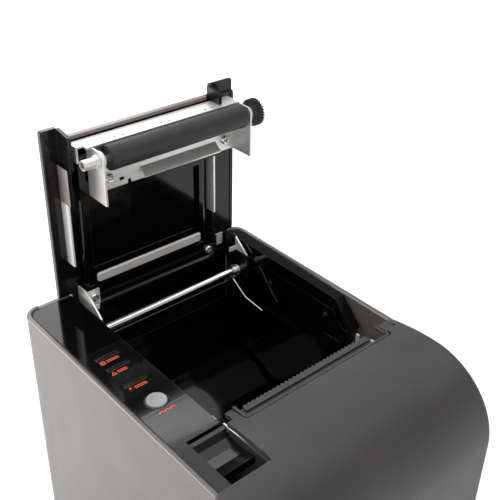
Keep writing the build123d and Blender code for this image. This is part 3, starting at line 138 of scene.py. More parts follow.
def edge_mask(tree, sharpness=0.55, radius=0.6 * MM):
    """White on sharp edges, from the bevelled normal against the true one."""
    bevel = tree.nodes.new("ShaderNodeBevel")
    bevel.samples = BEVEL_SAMPLES
    bevel.inputs["Radius"].default_value = radius
    geometry = tree.nodes.new("ShaderNodeNewGeometry")
    dot = tree.nodes.new("ShaderNodeVectorMath")
    dot.operation = "DOT_PRODUCT"
    tree.links.new(bevel.outputs["Normal"], dot.inputs[0])
    tree.links.new(geometry.outputs["Normal"], dot.inputs[1])
    return ramp(tree, dot.outputs["Value"], [(sharpness, 1.0), (0.985, 0.0)])


def bump(tree, shader, height, strength, distance, radius=0.25 * MM):
    """Bump over a slightly rounded normal, so that moulded edges catch the light."""
    node = tree.nodes.new("ShaderNodeBump")
    node.inputs["Strength"].default_value = strength
    node.inputs["Distance"].default_value = distance
    rounding = tree.nodes.new("ShaderNodeBevel")
    rounding.samples = BEVEL_SAMPLES
    rounding.inputs["Radius"].default_value = radius
    tree.links.new(height, node.inputs["Height"])
    tree.links.new(rounding.outputs["Normal"], node.inputs["Normal"])
    tree.links.new(node.outputs["Normal"], shader.inputs["Normal"])


def plastic(name, colour, rough, grain, grain_size, wear=0.35, smudge=0.06, specular=0.5):
    """Moulded plastic: fine grain, faint mottling, smudged gloss and paler worn edges."""
    material, shader = new_material(name)
    tree = material.node_tree
    where = place_coordinates(tree)
    mottle = noise(tree, where, 35, 4)
    dark = tuple(c * 0.86 for c in colour)
    pale = tuple(min(1.0, c * 1.16) for c in colour)
    base = ramp(tree, mottle, [(0.3, dark), (0.7, pale)])
    worn = tuple(min(1.0, c * 1.9 + 0.02) for c in colour)
    edges = edge_mask(tree)
    patchy = mix(tree, wear, BLACK, edges)
    rubbed = mix(tree, noise(tree, where, 140, 5), BLACK, patchy)
    tree.links.new(mix(tree, rubbed, base, worn), shader.inputs["Base Color"])
    smears = noise(tree, place_coordinates(tree, (1, 2.5, 1)), 26, 6, 0.62)
    tree.links.new(
        ramp(tree, smears, [(0.25, max(0.0, rough - smudge)), (0.75, min(1.0, rough + smudge))]),
        shader.inputs["Roughness"],
    )
    shader.inputs["Specular IOR Level"].default_value = specular
    bump(tree, shader, noise(tree, where, grain_size, 2), grain, 0.00012)
    return material


def gloss(name, colour, rough=0.05, coat=0.12):
    """Polished black plastic: a little orange peel, hairline scratches and dust."""
    material, shader = new_material(name)
    tree = material.node_tree
    where = place_coordinates(tree)
    shader.inputs["Specular IOR Level"].default_value = 0.30
    shader.inputs["Coat Weight"].default_value = coat
    shader.inputs["Coat Roughness"].default_value = 0.03
    dusty = tuple(c * 3 + 0.02 for c in colour)
    dust = ramp(tree, noise(tree, where, 900, 4, 0.7), [(0.66, colour), (0.82, dusty)])
    edges = mix(tree, 0.5, BLACK, edge_mask(tree))
    tree.links.new(mix(tree, edges, dust, tuple(c + 0.05 for c in colour)), shader.inputs["Base Color"])
    smears = noise(tree, place_coordinates(tree, (1, 1.6, 1)), 30, 6, 0.6)
    tree.links.new(ramp(tree, smears, [(0.35, rough), (0.8, rough + 0.09)]), shader.inputs["Roughness"])
    bump(tree, shader, noise(tree, where, 160, 2), 0.05, 0.0002)
    return material


def metal(name, colour, rough, along="x", brushed=0.5, wear=0.2, metallic=1.0):
    """Sheet or ground metal with grain drawn along one axis, faint stains and bright edges."""
    material, shader = new_material(name)
    tree = material.node_tree
    stretch = {"x": (0.03, 1, 1), "y": (1, 0.03, 1), "z": (1, 1, 0.03), "none": (1, 1, 1)}[along]
    grain = noise(tree, place_coordinates(tree, stretch), 2600, 2, 0.5)
    stains = noise(tree, place_coordinates(tree), 60, 5)
    shader.inputs["Metallic"].default_value = metallic
    tone = ramp(tree, stains, [(0.3, tuple(c * 0.93 for c in colour)), (0.65, colour)])
    bright = tuple(min(1.0, c * 1.25) for c in colour)
    edges = mix(tree, wear, BLACK, edge_mask(tree))
    tree.links.new(mix(tree, edges, tone, bright), shader.inputs["Base Color"])
    tree.links.new(ramp(tree, grain, [(0.3, rough * 0.9), (0.7, rough * 1.1)]), shader.inputs["Roughness"])
    shader.inputs["Anisotropic"].default_value = 0.2 if along != "none" else 0.0
    bump(tree, shader, grain, brushed, 0.00001)
    return material


def rubber(name, colour):
    """Ground rubber: matt, with fine turning marks and a dusty bloom."""
    material, shader = new_material(name)
    tree = material.node_tree
    rings = noise(tree, place_coordinates(tree, (1, 0.05, 0.05)), 2200, 2)
    bloom = noise(tree, place_coordinates(tree), 90, 5)
    base = ramp(tree, bloom, [(0.3, colour), (0.75, tuple(c * 1.4 for c in colour))])
    tree.links.new(base, shader.inputs["Base Color"])
    tree.links.new(ramp(tree, rings, [(0.3, 0.50), (0.7, 0.64)]), shader.inputs["Roughness"])
    bump(tree, shader, rings, 0.25, 0.00005)
    return material


# where the painted shade on the lid's arms ends, in metres: black below this height, at the right eye and
# on the right foot
ARM_SHADE_TOP_Z = DECK - 6.2 * MM
RIGHT_EYE_X, RIGHT_EYE_Y = 59 * MM, BACK - 13.7 * MM
RIGHT_FOOT_X, RIGHT_FOOT_TOP_Z = (38 * MM, 52 * MM), DECK + 12 * MM
ARM_SHADE_BLACK, UNSHADED_METALLIC = (0.006, 0.006, 0.006), 0.5


def arm_steel_with_painted_shade():
    """The lid's arms: bright sheet, with painted shade: black on the eyes round the shaft and on the right
    foot.
    """
    material = metal("arm_steel_shaded", (0.95, 0.93, 0.91), 0.42, "z", 0.08)
    tree = material.node_tree
    shader = tree.nodes["Principled BSDF"]
    coords = tree.nodes.new("ShaderNodeTexCoord")
    split = tree.nodes.new("ShaderNodeSeparateXYZ")
    tree.links.new(coords.outputs["Object"], split.inputs["Vector"])

    def combine(kind, first, second):
        node = tree.nodes.new("ShaderNodeMath")
        node.operation = kind
        node.use_clamp = True
        for value, socket in ((first, node.inputs[0]), (second, node.inputs[1])):
            if isinstance(value, float):
                socket.default_value = value
            else:
                tree.links.new(value, socket)
        return node.outputs["Value"]

    def beyond(axis, limit):
        return combine("GREATER_THAN", split.outputs[axis], limit)

    # painted shade: the arms turn black just under the deck, at the right eye and on the right foot
    right_eye = combine("MULTIPLY", beyond("X", RIGHT_EYE_X), beyond("Y", RIGHT_EYE_Y))
    foot_width = combine("SUBTRACT", *(beyond("X", limit) for limit in RIGHT_FOOT_X))
    right_foot = combine("SUBTRACT", foot_width, beyond("Z", RIGHT_FOOT_TOP_Z))
    shaded = combine("ADD", right_eye, right_foot)
    unshaded = combine("SUBTRACT", beyond("Z", ARM_SHADE_TOP_Z), shaded)
    steel = shader.inputs["Base Color"].links[0].from_socket
    tree.links.new(mix(tree, unshaded, ARM_SHADE_BLACK, steel), shader.inputs["Base Color"])
    tree.links.new(combine("MULTIPLY", unshaded, UNSHADED_METALLIC), shader.inputs["Metallic"])
    return material


def board():
    """Solder mask with faint tracks under it."""
    material, shader = new_material("board_green")
    tree = material.node_tree
    tracks = tree.nodes.new("ShaderNodeTexBrick")
    tracks.inputs["Scale"].default_value = 240
    tracks.inputs["Color1"].default_value = (0.012, 0.09, 0.035, 1)
    tracks.inputs["Color2"].default_value = (0.02, 0.13, 0.05, 1)
    tracks.inputs["Mortar"].default_value = (0.05, 0.2, 0.08, 1)
    tree.links.new(place_coordinates(tree), tracks.inputs["Vector"])
    tree.links.new(tracks.outputs["Color"], shader.inputs["Base Color"])
    grime = noise(tree, place_coordinates(tree), 120, 4)
    tree.links.new(ramp(tree, grime, [(0.3, 0.25), (0.7, 0.45)]), shader.inputs["Roughness"])
    bump(tree, shader, grime, 0.1, 0.00005)
    return material


MATERIALS = {
    "case_black": plastic(
        "case_black", (0.074, 0.067, 0.063), 0.33, 0.22, 1500, wear=0.3, smudge=0.025, specular=0.75
    ),
    "cover_black": plastic(
        "cover_black", (0.027, 0.0240, 0.0248), 0.44, 0.42, 1250, wear=0.3, specular=0.55
    ),
    "gloss_black": gloss("gloss_black", (0.0022, 0.0020, 0.0020)),
    "lid_black": gloss("lid_black", (0.006, 0.0055, 0.0055), rough=0.14, coat=0.08),
    "overlay": gloss("overlay", (0.004, 0.0036, 0.0036), rough=0.07, coat=0.25),
    "button_grey": plastic("button_grey", (0.27, 0.275, 0.29), 0.38, 0.12, 1800, wear=0.2),
    "lens_smoke": gloss("lens_smoke", (0.014, 0.012, 0.011), rough=0.08, coat=0.4),
    "rubber_black": rubber("rubber_black", (0.013, 0.0125, 0.0135)),
    "bright_steel": metal("bright_steel", (0.72, 0.715, 0.70), 0.40, "x", 0.08, metallic=0.72),
    # the arms' steel, with painted shade in black on their eyes and right foot
    "arm_steel_shaded": arm_steel_with_painted_shade(),
    "guide_steel": metal("guide_steel", (0.93, 0.88, 0.85), 0.36, "x", 0.06, metallic=0.5),
    "shaft_steel": metal("shaft_steel", (0.84, 0.82, 0.79), 0.16, "x", 0.08),
    "screw_steel": metal("screw_steel", (0.86, 0.85, 0.83), 0.22, "none", 0.08),
    "screw_dark": metal("screw_dark", (0.055, 0.052, 0.050), 0.35, "none", 0.1),
    "blade_steel": metal("blade_steel", (0.55, 0.55, 0.56), 0.28, "y", 0.12),
    "bush_metal": metal("bush_metal", (0.70, 0.68, 0.66), 0.42, "x", 0.04, wear=0.05, metallic=0.8),
    "gear_black": plastic("gear_black", (0.016, 0.015, 0.015), 0.40, 0.15, 1500, wear=0.4),
    "inner_black": plastic("inner_black", (0.022, 0.021, 0.021), 0.5, 0.2, 1300),
    "socket_metal": metal("socket_metal", (0.68, 0.68, 0.67), 0.3, "y", 0.2),
    "board_green": board(),
    "motor_metal": metal("motor_metal", (0.5, 0.5, 0.5), 0.35, "x", 0.3),
    "head_alu": metal("head_alu", (0.7, 0.7, 0.71), 0.4, "x", 0.4),
    "head_ceramic": plastic("head_ceramic", (0.55, 0.45, 0.34), 0.2, 0.05, 900),
    "sign_orange": plastic("sign_orange", (0.86, 0.13, 0.045), 0.4, 0.05, 1500, wear=0.1),
    "sign_white": plastic("sign_white", (0.7, 0.7, 0.7), 0.4, 0.05, 1500, wear=0.1),
    "contact_gold": metal("contact_gold", (0.85, 0.62, 0.25), 0.25, "none", 0.05),
    # lip_grey: paler grey put on the black lid's edge and tab as painted light
    "lip_grey": plastic("lip_grey", (0.21, 0.18, 0.17), 0.3, 0.1, 1500, wear=0.2),
}

# CAD nodes whose finish differs from their slot's own, and finishes that share another's slot
LOOK_OF = {"arm_left": "arm_steel_shaded", "arm_right": "arm_steel_shaded", "guide_bar": "guide_steel"}


def dress_cad_nodes():
    """Give every CAD node the material of its slot, or its own finish of the same metal."""
    for item in frame["record"]["subparts"]:
        thing = frame["nodes"][item["node"]]
        look = LOOK_OF.get(item["node"], item["material_slot"])
        for slot in thing.material_slots:
            slot.material = MATERIALS[look]


dress_cad_nodes()


# ------------------------------------------------------------------ mesh helpers
def add_piece(name, shape, material, body, smooth_angle=35):
    """A bmesh becomes a piece with a material of the record's slots, riding on a body."""
    mesh = bpy.data.meshes.new(name)
    bmesh.ops.recalc_face_normals(shape, faces=shape.faces)
    shape.to_mesh(mesh)
    shape.free()
    thing = bpy.data.objects.new(name, mesh)
    bpy.context.scene.collection.objects.link(thing)
    mesh.materials.append(MATERIALS[material])
    mesh.shade_smooth()
    mesh.set_sharp_from_angle(angle=radians(smooth_angle))
    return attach(thing, body)


def facing(place, direction):
    """A frame at place whose Z points along direction."""
    return Matrix.Translation(place) @ Vector(direction).to_track_quat("Z", "Y").to_matrix().to_4x4()


def lathe(shape, profile, frame_at, segments=40):
    """Turn (radius, height) points about the frame's Z; a radius of 0 closes the end."""
    rings = []
    for radius, height in profile:
        if radius == 0:
            rings.append([shape.verts.new(frame_at @ Vector((0, 0, height)))])
            continue
        ring = []
        for i in range(segments):
            angle = 2 * pi * i / segments
            spot = Vector((radius * cos(angle), radius * sin(angle), height))
            ring.append(shape.verts.new(frame_at @ spot))
        rings.append(ring)
    for first, second in zip(rings, rings[1:]):
        for i in range(segments):
            j = (i + 1) % segments
            corners = [first[k % len(first)] for k in (i, j)] + [second[k % len(second)] for k in (j, i)]
            corners = list(dict.fromkeys(corners))
            if len(corners) > 2:
                shape.faces.new(corners)


def box_into(shape, x, y, z, turn=Matrix.Identity(4), bevel=0.0):
    """A box between corners, turned by a matrix, with bevelled edges."""
    corners = [Vector((a, b, c)) for a in x for b in y for c in z]
    verts = [shape.verts.new(turn @ corner) for corner in corners]
    faces = []
    for quad in ((0, 1, 3, 2), (4, 6, 7, 5), (0, 4, 5, 1), (2, 3, 7, 6), (0, 2, 6, 4), (1, 5, 7, 3)):
        faces.append(shape.faces.new([verts[i] for i in quad]))
    if bevel:
        edges = list({edge for face in faces for edge in face.edges})
        bmesh.ops.bevel(shape, geom=edges, offset=bevel, segments=2, profile=0.7, affect="EDGES")


def prism(shape, outline, thickness, frame_at):
    """A flat outline in the frame's XY, given a thickness along its Z."""
    lower = [shape.verts.new(frame_at @ Vector((x, y, 0))) for x, y in outline]
    upper = [shape.verts.new(frame_at @ Vector((x, y, thickness))) for x, y in outline]
    shape.faces.new(lower[::-1])
    shape.faces.new(upper)
    for i in range(len(outline)):
        j = (i + 1) % len(outline)
        shape.faces.new((lower[i], lower[j], upper[j], upper[i]))


def tube_along(shape, points, radius, sides=12):
    """A round wire through points, with its frame carried along the line."""
    rings = []
    side = None
    for i, point in enumerate(points):
        ahead = (points[min(i + 1, len(points) - 1)] - points[max(i - 1, 0)]).normalized()
        if side is None:
            side = ahead.orthogonal().normalized()
        side = (side - ahead * side.dot(ahead)).normalized()
        other = ahead.cross(side)
        ring = []
        for k in range(sides):
            angle = 2 * pi * k / sides
            ring.append(shape.verts.new(point + (side * cos(angle) + other * sin(angle)) * radius))
        rings.append(ring)
    for first, second in zip(rings, rings[1:]):
        for k in range(sides):
            j = (k + 1) % sides
            shape.faces.new((first[k], first[j], second[j], second[k]))
    shape.faces.new(rings[0][::-1])
    shape.faces.new(rings[-1])


# ------------------------------------------------------------------ screws
RECESS_HALF, RECESS_REACH, RECESS_DEPTH, RECESS_TAPER = 0.13, 0.56, 0.55, 0.72
CROWN = 0.96
HEAD_PROFILE = ((0.74, 1.0), (0.90, 0.84), (0.98, 0.58), (1.0, 0.25), (0.97, 0.0))
HEAD_SIDES = 48


def cross_head(name, places, direction, radius, height, body, replaced, turns, material="screw_steel"):
    """Pan-head screws with a cross recess, all of one CAD node, which they replace."""
    shape = bmesh.new()
    for place, turn in zip(places, turns):
        at = facing(place, direction) @ Matrix.Rotation(turn, 4, "Z")
        half, reach = radius * RECESS_HALF, radius * RECESS_REACH
        rim = []
        for quarter in range(4):
            spin = Matrix.Rotation(quarter * pi / 2, 4, "Z")
            rim += [spin @ Vector((x, y, 0)) for x, y in ((half, half), (half, reach), (-half, reach))]
        crown = Vector((0, 0, height * CROWN))
        sunk = crown - Vector((0, 0, height * RECESS_DEPTH))
        top = [shape.verts.new(at @ (corner + crown)) for corner in rim]
        floor = [shape.verts.new(at @ (corner * RECESS_TAPER + sunk)) for corner in rim]
        shape.faces.new(floor)
        for i in range(len(rim)):
            j = (i + 1) % len(rim)
            shape.faces.new((top[i], top[j], floor[j], floor[i]))
        rings = []
        for share, rise in HEAD_PROFILE:
            ring = []
            for i in range(HEAD_SIDES):
                angle = 2 * pi * i / HEAD_SIDES
                spot = Vector((radius * share * cos(angle), radius * share * sin(angle), height * rise))
                ring.append(shape.verts.new(at @ spot))
            rings.append(ring)
        for first, second in zip(rings, rings[1:]):
            for i in range(HEAD_SIDES):
                j = (i + 1) % HEAD_SIDES
                shape.faces.new((first[i], first[j], second[j], second[i]))
        edges = [shape.edges.get((a, b)) for a, b in zip(rings[0], rings[0][1:] + rings[0][:1])]
        edges += [shape.edges.get((a, b)) for a, b in zip(top, top[1:] + top[:1])]
        bmesh.ops.triangle_fill(shape, use_beauty=True, edges=edges)
    piece = add_piece(name, shape, material, body)
    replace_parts(piece, replaced)


def all_screws():
    # the lid's screws face forward, one at each end of their node's box
    height = 2.0 * MM
    for name, node, turns in (
        ("arm_screw_heads", "arm_screws", (0.3, 1.1)),
        ("bracket_screw_heads", "bracket_screws", (0.8, 0.2)),
    ):
        lowest, highest = low(node), high(node)
        radius = (highest.z - lowest.z) / 2
        ends = (lowest.x + radius, highest.x - radius)
        spots = [Vector((x, lowest.y + height, lowest.z + radius)) for x in ends]
        cross_head(name, spots, (0, -1, 0), radius, height, "lid", node, turns)
    # the bucket's face left, at two opposite corners of their node's box
    radius, height = 1.8 * MM, 1.0 * MM
    node, turns = "bucket_screws", (0.5, 1.3)
    lowest, highest = low(node), high(node)
    spots = [
        Vector((lowest.x + height, highest.y - radius, lowest.z + radius)),
        Vector((lowest.x + height, lowest.y + radius, highest.z - radius)),
    ]
    name = "bucket_screw_heads"
    cross_head(name, spots, (-1, 0, 0), radius, height, "case", node, turns, "screw_dark")


# ------------------------------------------------------------------ springs
STEPS_PER_TURN = 28
COIL_R = 3.4 * MM


def coil_spring(name, node, centre, wire, x_range, turns, legs, body):
    """A torsion spring round an X axis, with the points of its two legs; it replaces its CAD node."""
    steps = turns * STEPS_PER_TURN
    points = list(legs[0])
    start = pi * 1.5
    for i in range(steps + 1):
        angle = start + 2 * pi * turns * i / steps
        x = x_range[0] + (x_range[1] - x_range[0]) * i / steps
        points.append(Vector((x, centre.y + COIL_R * cos(angle), centre.z + COIL_R * sin(angle))))
    points += legs[1]
    shape = bmesh.new()
    tube_along(shape, points, wire)
    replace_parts(add_piece(name, shape, "shaft_steel", body), node)


def all_springs():
    hinge = hinge_place("lid_hinge")
    lowest, highest = low("hinge_spring"), high("hinge_spring")
    left = lowest.x + 0.6 * MM
    right = left + 4.4 * MM
    foot = Vector((highest.x - 0.5 * MM, lowest.y + 0.5 * MM, lowest.z + 0.5 * MM))
    bend = Vector((left + 1.2 * MM, hinge.y - 12 * MM, hinge.z - 12.2 * MM))
    near = Vector((left + 0.1 * MM, hinge.y - 3.0 * MM, hinge.z - 4.4 * MM))
    tip = Vector((right, hinge.y + 3.0 * MM, hinge.z - 3.4 * MM))
    lead = [foot, foot.lerp(bend, 0.5), bend, bend.lerp(near, 0.5), near]
    span = (left, right)
    coil_spring("hinge_spring_wire", "hinge_spring", hinge, 0.38 * MM, span, 5, (lead, [tip]), "case")
    latch = hinge_place("latch_turn")
    lowest, highest = low("latch_spring"), high("latch_spring")
    span = (lowest.x + 0.5 * MM, highest.x - 0.5 * MM)
    coil_spring("latch_spring_wire", "latch_spring", latch, 0.45 * MM, span, 4, ([], []), "case")


# ------------------------------------------------------------------ control strip
def rounded_outline(width, depth, corner, steps=6):
    """A rectangle about the origin with rounded corners, anticlockwise."""
    points = []
    for quarter, (sx, sy) in enumerate(((1, 1), (-1, 1), (-1, -1), (1, -1))):
        centre = (sx * (width / 2 - corner), sy * (depth / 2 - corner))
        for i in range(steps + 1):
            angle = pi / 2 * (quarter + i / steps)
            points.append((centre[0] + corner * cos(angle), centre[1] + corner * sin(angle)))
    return points


def feed_button():
    """A round key with a rolled rim and a faintly dished top."""
    lowest, highest = low("feed_button"), high("feed_button")
    centre = (lowest + highest) / 2
    radius = (highest.x - lowest.x) / 2
    top = highest.z
    at = Matrix.Translation((centre.x, centre.y, 0))
    profile = [(0, top - 0.42 * MM)]
    for share, drop in ((0.25, 0.41), (0.5, 0.36), (0.7, 0.26), (0.8, 0.14), (0.86, 0.04), (0.90, 0.0)):
        profile.append((radius * share, top - drop * MM))
    for share, drop in ((0.95, 0.05), (0.985, 0.2), (1.0, 0.5), (1.0, 5.0)):
        profile.append((radius * share, top - drop * MM))
    profile += [(1.8 * MM, top - 5.0 * MM), (1.8 * MM, lowest.z), (0, lowest.z)]
    shape = bmesh.new()
    lathe(shape, profile, at, 64)
    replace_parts(add_piece("feed_key", shape, "button_grey", "button", 40), "feed_button")


def button_well():
    """A thin raised ring round the key, part of the overlay."""
    centre = middle("feed_button")
    radius = (high("feed_button") - low("feed_button")).x / 2
    top = high("control_overlay").z
    inner, outer = radius + 0.38 * MM, radius + 0.95 * MM
    profile = [(inner, top - 0.05 * MM), (inner, top + 0.12 * MM), (inner + 0.12 * MM, top + 0.24 * MM)]
    profile += [(outer - 0.3 * MM, top + 0.2 * MM), (outer, top - 0.05 * MM), (inner, top - 0.05 * MM)]
    shape = bmesh.new()
    lathe(shape, profile, Matrix.Translation((centre.x, centre.y, 0)), 72)
    add_piece("button_ring", shape, "overlay", "case")


def window_places():
    """Centre y of each light window from back to front, read from the light pipes' vertices."""
    mesh = frame["nodes"]["led_windows"].data
    rows = sorted({round(vertex.co.y, 4) for vertex in mesh.vertices})
    groups = []
    for y in rows:
        if groups and y - groups[-1][-1] < 3 * MM:
            groups[-1].append(y)
        else:
            groups.append([y])
    return [(group[0] + group[-1]) / 2 for group in groups][::-1]


def light_windows():
    """Smoked lenses with rounded top edges, one over each light pipe, each between two low ridges."""
    lowest, highest = low("led_windows"), high("led_windows")
    centre_x = (lowest.x + highest.x) / 2
    length = highest.x - lowest.x
    face = high("control_overlay").z
    ridge_offset, ridge_half = 1.35 * MM, 0.12 * MM
    for index, y in enumerate(window_places()):
        shape = bmesh.new()
        at = Matrix.Translation((centre_x, y, face - 0.1 * MM))
        prism(shape, rounded_outline(length - 0.1 * MM, 2.0 * MM, 0.35 * MM), 0.32 * MM, at)
        bmesh.ops.bevel(
            shape,
            geom=[edge for edge in shape.edges if abs(edge.verts[0].co.z - edge.verts[1].co.z) < 1e-7],
            offset=0.1 * MM,
            segments=3,
            profile=0.6,
            affect="EDGES",
        )
        add_piece(f"light_lens_{index + 1}", shape, "lens_smoke", "case")
        frame_shape = bmesh.new()
        for side in (-1, 1):
            box_into(
                frame_shape,
                (centre_x - length / 2 - 0.3 * MM, centre_x + length / 2 - 0.6 * MM),
                (y + side * ridge_offset - ridge_half, y + side * ridge_offset + ridge_half),
                (face - 0.05 * MM, face + 0.14 * MM),
                bevel=0.04 * MM,
            )
        add_piece(f"light_frame_{index + 1}", frame_shape, "overlay", "case")


def stroke(shape, points, width, z, thickness):
    """A printed line through points, as a row of thin slabs."""
    for start, end in zip(points, points[1:]):
        start, end = Vector((*start, z)), Vector((*end, z))
        along = end - start
        angle = Vector((1, 0)).angle_signed(along.xy) * -1
        turn = Matrix.Translation(start) @ Matrix.Rotation(angle, 4, "Z")
        half = width / 2
        box_into(shape, (-half, along.length + half), (-half, half), (0, thickness), turn)


def arc_points(centre, radius, start, end, steps=16):
    angles = [radians(start + (end - start) * i / steps) for i in range(steps + 1)]
    return [(centre[0] + radius * cos(a), centre[1] + radius * sin(a)) for a in angles]


def pictograms():
    """Generic signs: sheet, triangle and ring beside the lights, and three chevrons by the key."""
    z = high("control_overlay").z - 0.01 * MM
    thick, line = 0.06 * MM, 0.44 * MM
    left = low("led_windows").x
    rows = [y - 3.2 * MM for y in window_places()]
    shape = bmesh.new()
    x, y = left + 1.6 * MM, rows[0]
    sheet = [(x - 1.0 * MM, y - 1.1 * MM), (x + 1.0 * MM, y - 1.1 * MM), (x + 1.0 * MM, y + 1.1 * MM)]
    sheet += [(x - 1.0 * MM, y + 1.1 * MM), (x - 1.0 * MM, y - 1.1 * MM)]
    stroke(shape, sheet, line, z, thick)
    for rise in (-0.4, 0.4):
        stroke(shape, [(x - 0.4 * MM, y + rise * MM), (x + 0.4 * MM, y + rise * MM)], line * 0.7, z, thick)
    y = rows[1]
    triangle = [(x - 1.2 * MM, y - 1.0 * MM), (x + 1.2 * MM, y - 1.0 * MM), (x, y + 1.1 * MM)]
    stroke(shape, triangle + triangle[:1], line, z, thick)
    y = rows[2]
    stroke(shape, arc_points((x, y), 1.0 * MM, 125, 415), line, z, thick)
    stroke(shape, [(x, y + 0.2 * MM), (x, y + 1.3 * MM)], line, z, thick)
    # two lines of dashes after each sign, in place of lettering
    first_dash, dash_pitch, dash = 2.3 * MM, 1.35 * MM, 0.75 * MM
    for row, count in zip(rows, (5, 4, 5)):
        for k in range(count):
            start = x + first_dash + dash_pitch * k
            for rise in (-0.55, 0.55):
                level = row + rise * MM
                stroke(shape, [(start, level), (start + dash, level)], line * 1.1, z, thick)
    key = middle("feed_button")
    for k in range(3):
        x, y = key.x + (k - 1) * 3.0 * MM, key.y - 7.6 * MM
        arrow = [(x - 1.1 * MM, y - 0.8 * MM), (x, y + 0.7 * MM), (x + 1.1 * MM, y - 0.8 * MM)]
        stroke(shape, arrow, line * 1.2, z, thick)
    add_piece("control_signs", shape, "sign_orange", "case")


# ------------------------------------------------------------------ platen ends
def gear_face():
    """A hub collar on each face of the platen gear, and a ring in its web."""
    spin = hinge_place("platen_spin")
    lowest, highest = low("platen_gear"), high("platen_gear")
    outer_r = (highest.z - lowest.z) / 2
    shape = bmesh.new()
    face = facing(Vector((highest.x, spin.y, spin.z)), (1, 0, 0))
    profile = [(2.05 * MM, -0.6 * MM), (2.05 * MM, 0.0), (3.3 * MM, 0.0), (3.5 * MM, -0.25 * MM)]
    profile += [(3.55 * MM, -0.5 * MM), (2.05 * MM, -0.6 * MM)]
    lathe(shape, profile, face, 48)
    inner_face = facing(Vector((lowest.x, spin.y, spin.z)), (-1, 0, 0))
    collar = [(2.1, -0.4), (2.1, 0.25), (3.6, 0.25), (3.9, -0.4)]
    lathe(shape, [(r * MM, h * MM) for r, h in collar], inner_face, 48)
    add_piece("gear_hub", shape, "gear_black", "platen")
    ring = bmesh.new()
    mid_x = (lowest.x + highest.x) / 2
    flange = facing(Vector((mid_x, spin.y, spin.z)), (1, 0, 0))
    groove_r = outer_r - 1.05 * MM
    inner_r, half = groove_r - 0.8 * MM, 0.3 * MM
    web = [(inner_r, -half), (groove_r, -half), (groove_r, half), (inner_r, half)]
    lathe(ring, web, flange, 64)
    add_piece("gear_web", ring, "gear_black", "platen")


def bush_details():
    """Rounded mouth and shoulder on the left bush's stub, and a dark disc inside its bore as painted shade
    of the hollow.
    """
    spin = hinge_place("platen_spin")
    left = low("platen_bushes").x
    shape = bmesh.new()
    end = facing(Vector((left, spin.y, spin.z)), (-1, 0, 0))
    mouth = [(2.12, -1.2), (2.12, -0.1), (2.22, 0.0), (2.48, 0.0)]
    mouth += [(2.64, -0.12), (2.68, -0.35), (2.68, -1.2)]
    lathe(shape, [(r * MM, h * MM) for r, h in mouth], end, 48)
    stub = 7.1 * MM
    shoulder = facing(Vector((left + stub, spin.y, spin.z)), (-1, 0, 0))
    step = [(3.52, -0.4), (3.52, 0.1), (3.3, 0.5), (2.6, 0.7)]
    lathe(shape, [(r * MM, h * MM) for r, h in step], shoulder, 48)
    add_piece("bush_mouth", shape, "bush_metal", "lid")
    # painted shade: a dark disc set a little way into the bore
    bore = bmesh.new()
    shade_disc_r = 2.04 * MM
    lathe(bore, [(0, -0.7 * MM), (shade_disc_r, -0.7 * MM), (shade_disc_r, -1.3 * MM)], end, 48)
    add_piece("bush_bore_painted_shade", bore, "gear_black", "lid")


# the paler strip on the lid's edge and the thin paler plate on its tab are painted light: depths from
# BACK, rises from DECK
LIP_PAST_BLADE, LIP_DEPTH = 10.5 * MM, (3.2 * MM, 0.05 * MM)
LIP_RISE, TAB_RISE = (87.75 * MM, 89.72 * MM), (57.1 * MM, 76.9 * MM)
TAB_FACE_X, TAB_DEPTH = (-43.78 * MM, -43.50 * MM), (12.0 * MM, 2.6 * MM)


def lid_painted_highlights():
    """Painted light on the black lid: a paler strip along its edge between its posts as painted highlight,
    and a paler plate on the face of its tab where light falls.
    """
    shape = bmesh.new()
    box_into(
        shape,
        (low("fixed_blade").x - LIP_PAST_BLADE, high("fixed_blade").x - 0.4 * MM),
        [BACK - depth for depth in LIP_DEPTH],
        [DECK + rise for rise in LIP_RISE],
        bevel=0.2 * MM,
    )
    box_into(
        shape,
        TAB_FACE_X,
        [BACK - depth for depth in TAB_DEPTH],
        [DECK + rise for rise in TAB_RISE],
        bevel=0.06 * MM,
    )
    add_piece("lid_painted_highlights", shape, "lip_grey", "lid")


# ------------------------------------------------------------------ back of the printer
def socket_contacts():
    """Gold spring contacts inside the network and drawer sockets."""
    gold = bmesh.new()
    pitch, height_share = 1.02 * MM, 0.72
    for node, count in (("lan_port", 8), ("drawer_port", 6)):
        lowest, highest = low(node), high(node)
        centre_x = (lowest.x + highest.x) / 2
        z = lowest.z + (highest.z - lowest.z) * height_share
        for k in range(count):
            x = centre_x + (k - (count - 1) / 2) * pitch
            points = [
                Vector((x, highest.y - 11.5 * MM, z - 2.6 * MM)),
                Vector((x, highest.y - 6.0 * MM, z - 0.8 * MM)),
                Vector((x, highest.y - 2.2 * MM, z - 0.2 * MM)),
            ]
            tube_along(gold, points, 0.18 * MM, 6)
    add_piece("socket_contacts", gold, "contact_gold", "case")


def rocker_marks():
    """A plain bar on the power rocker, which rests 8 degrees pressed in."""
    rocker = hinge_place("rocker_tilt")
    tilt = Matrix.Translation(rocker) @ Matrix.Rotation(radians(-8), 4, "Z")
    shape = bmesh.new()
    outward = tilt @ Matrix.Translation((3.12 * MM, 0, 0)) @ Matrix.Rotation(pi / 2, 4, "Y")
    box_into(shape, (-1.2 * MM, 1.2 * MM), (4.2 * MM, 4.5 * MM), (-0.3 * MM, 0.0), outward, 0.04 * MM)
    add_piece("rocker_marks", shape, "sign_white", "rocker")


all_screws()
all_springs()
feed_button()
button_well()
light_windows()
pictograms()
gear_face()
bush_details()
lid_painted_highlights()
socket_contacts()
rocker_marks()


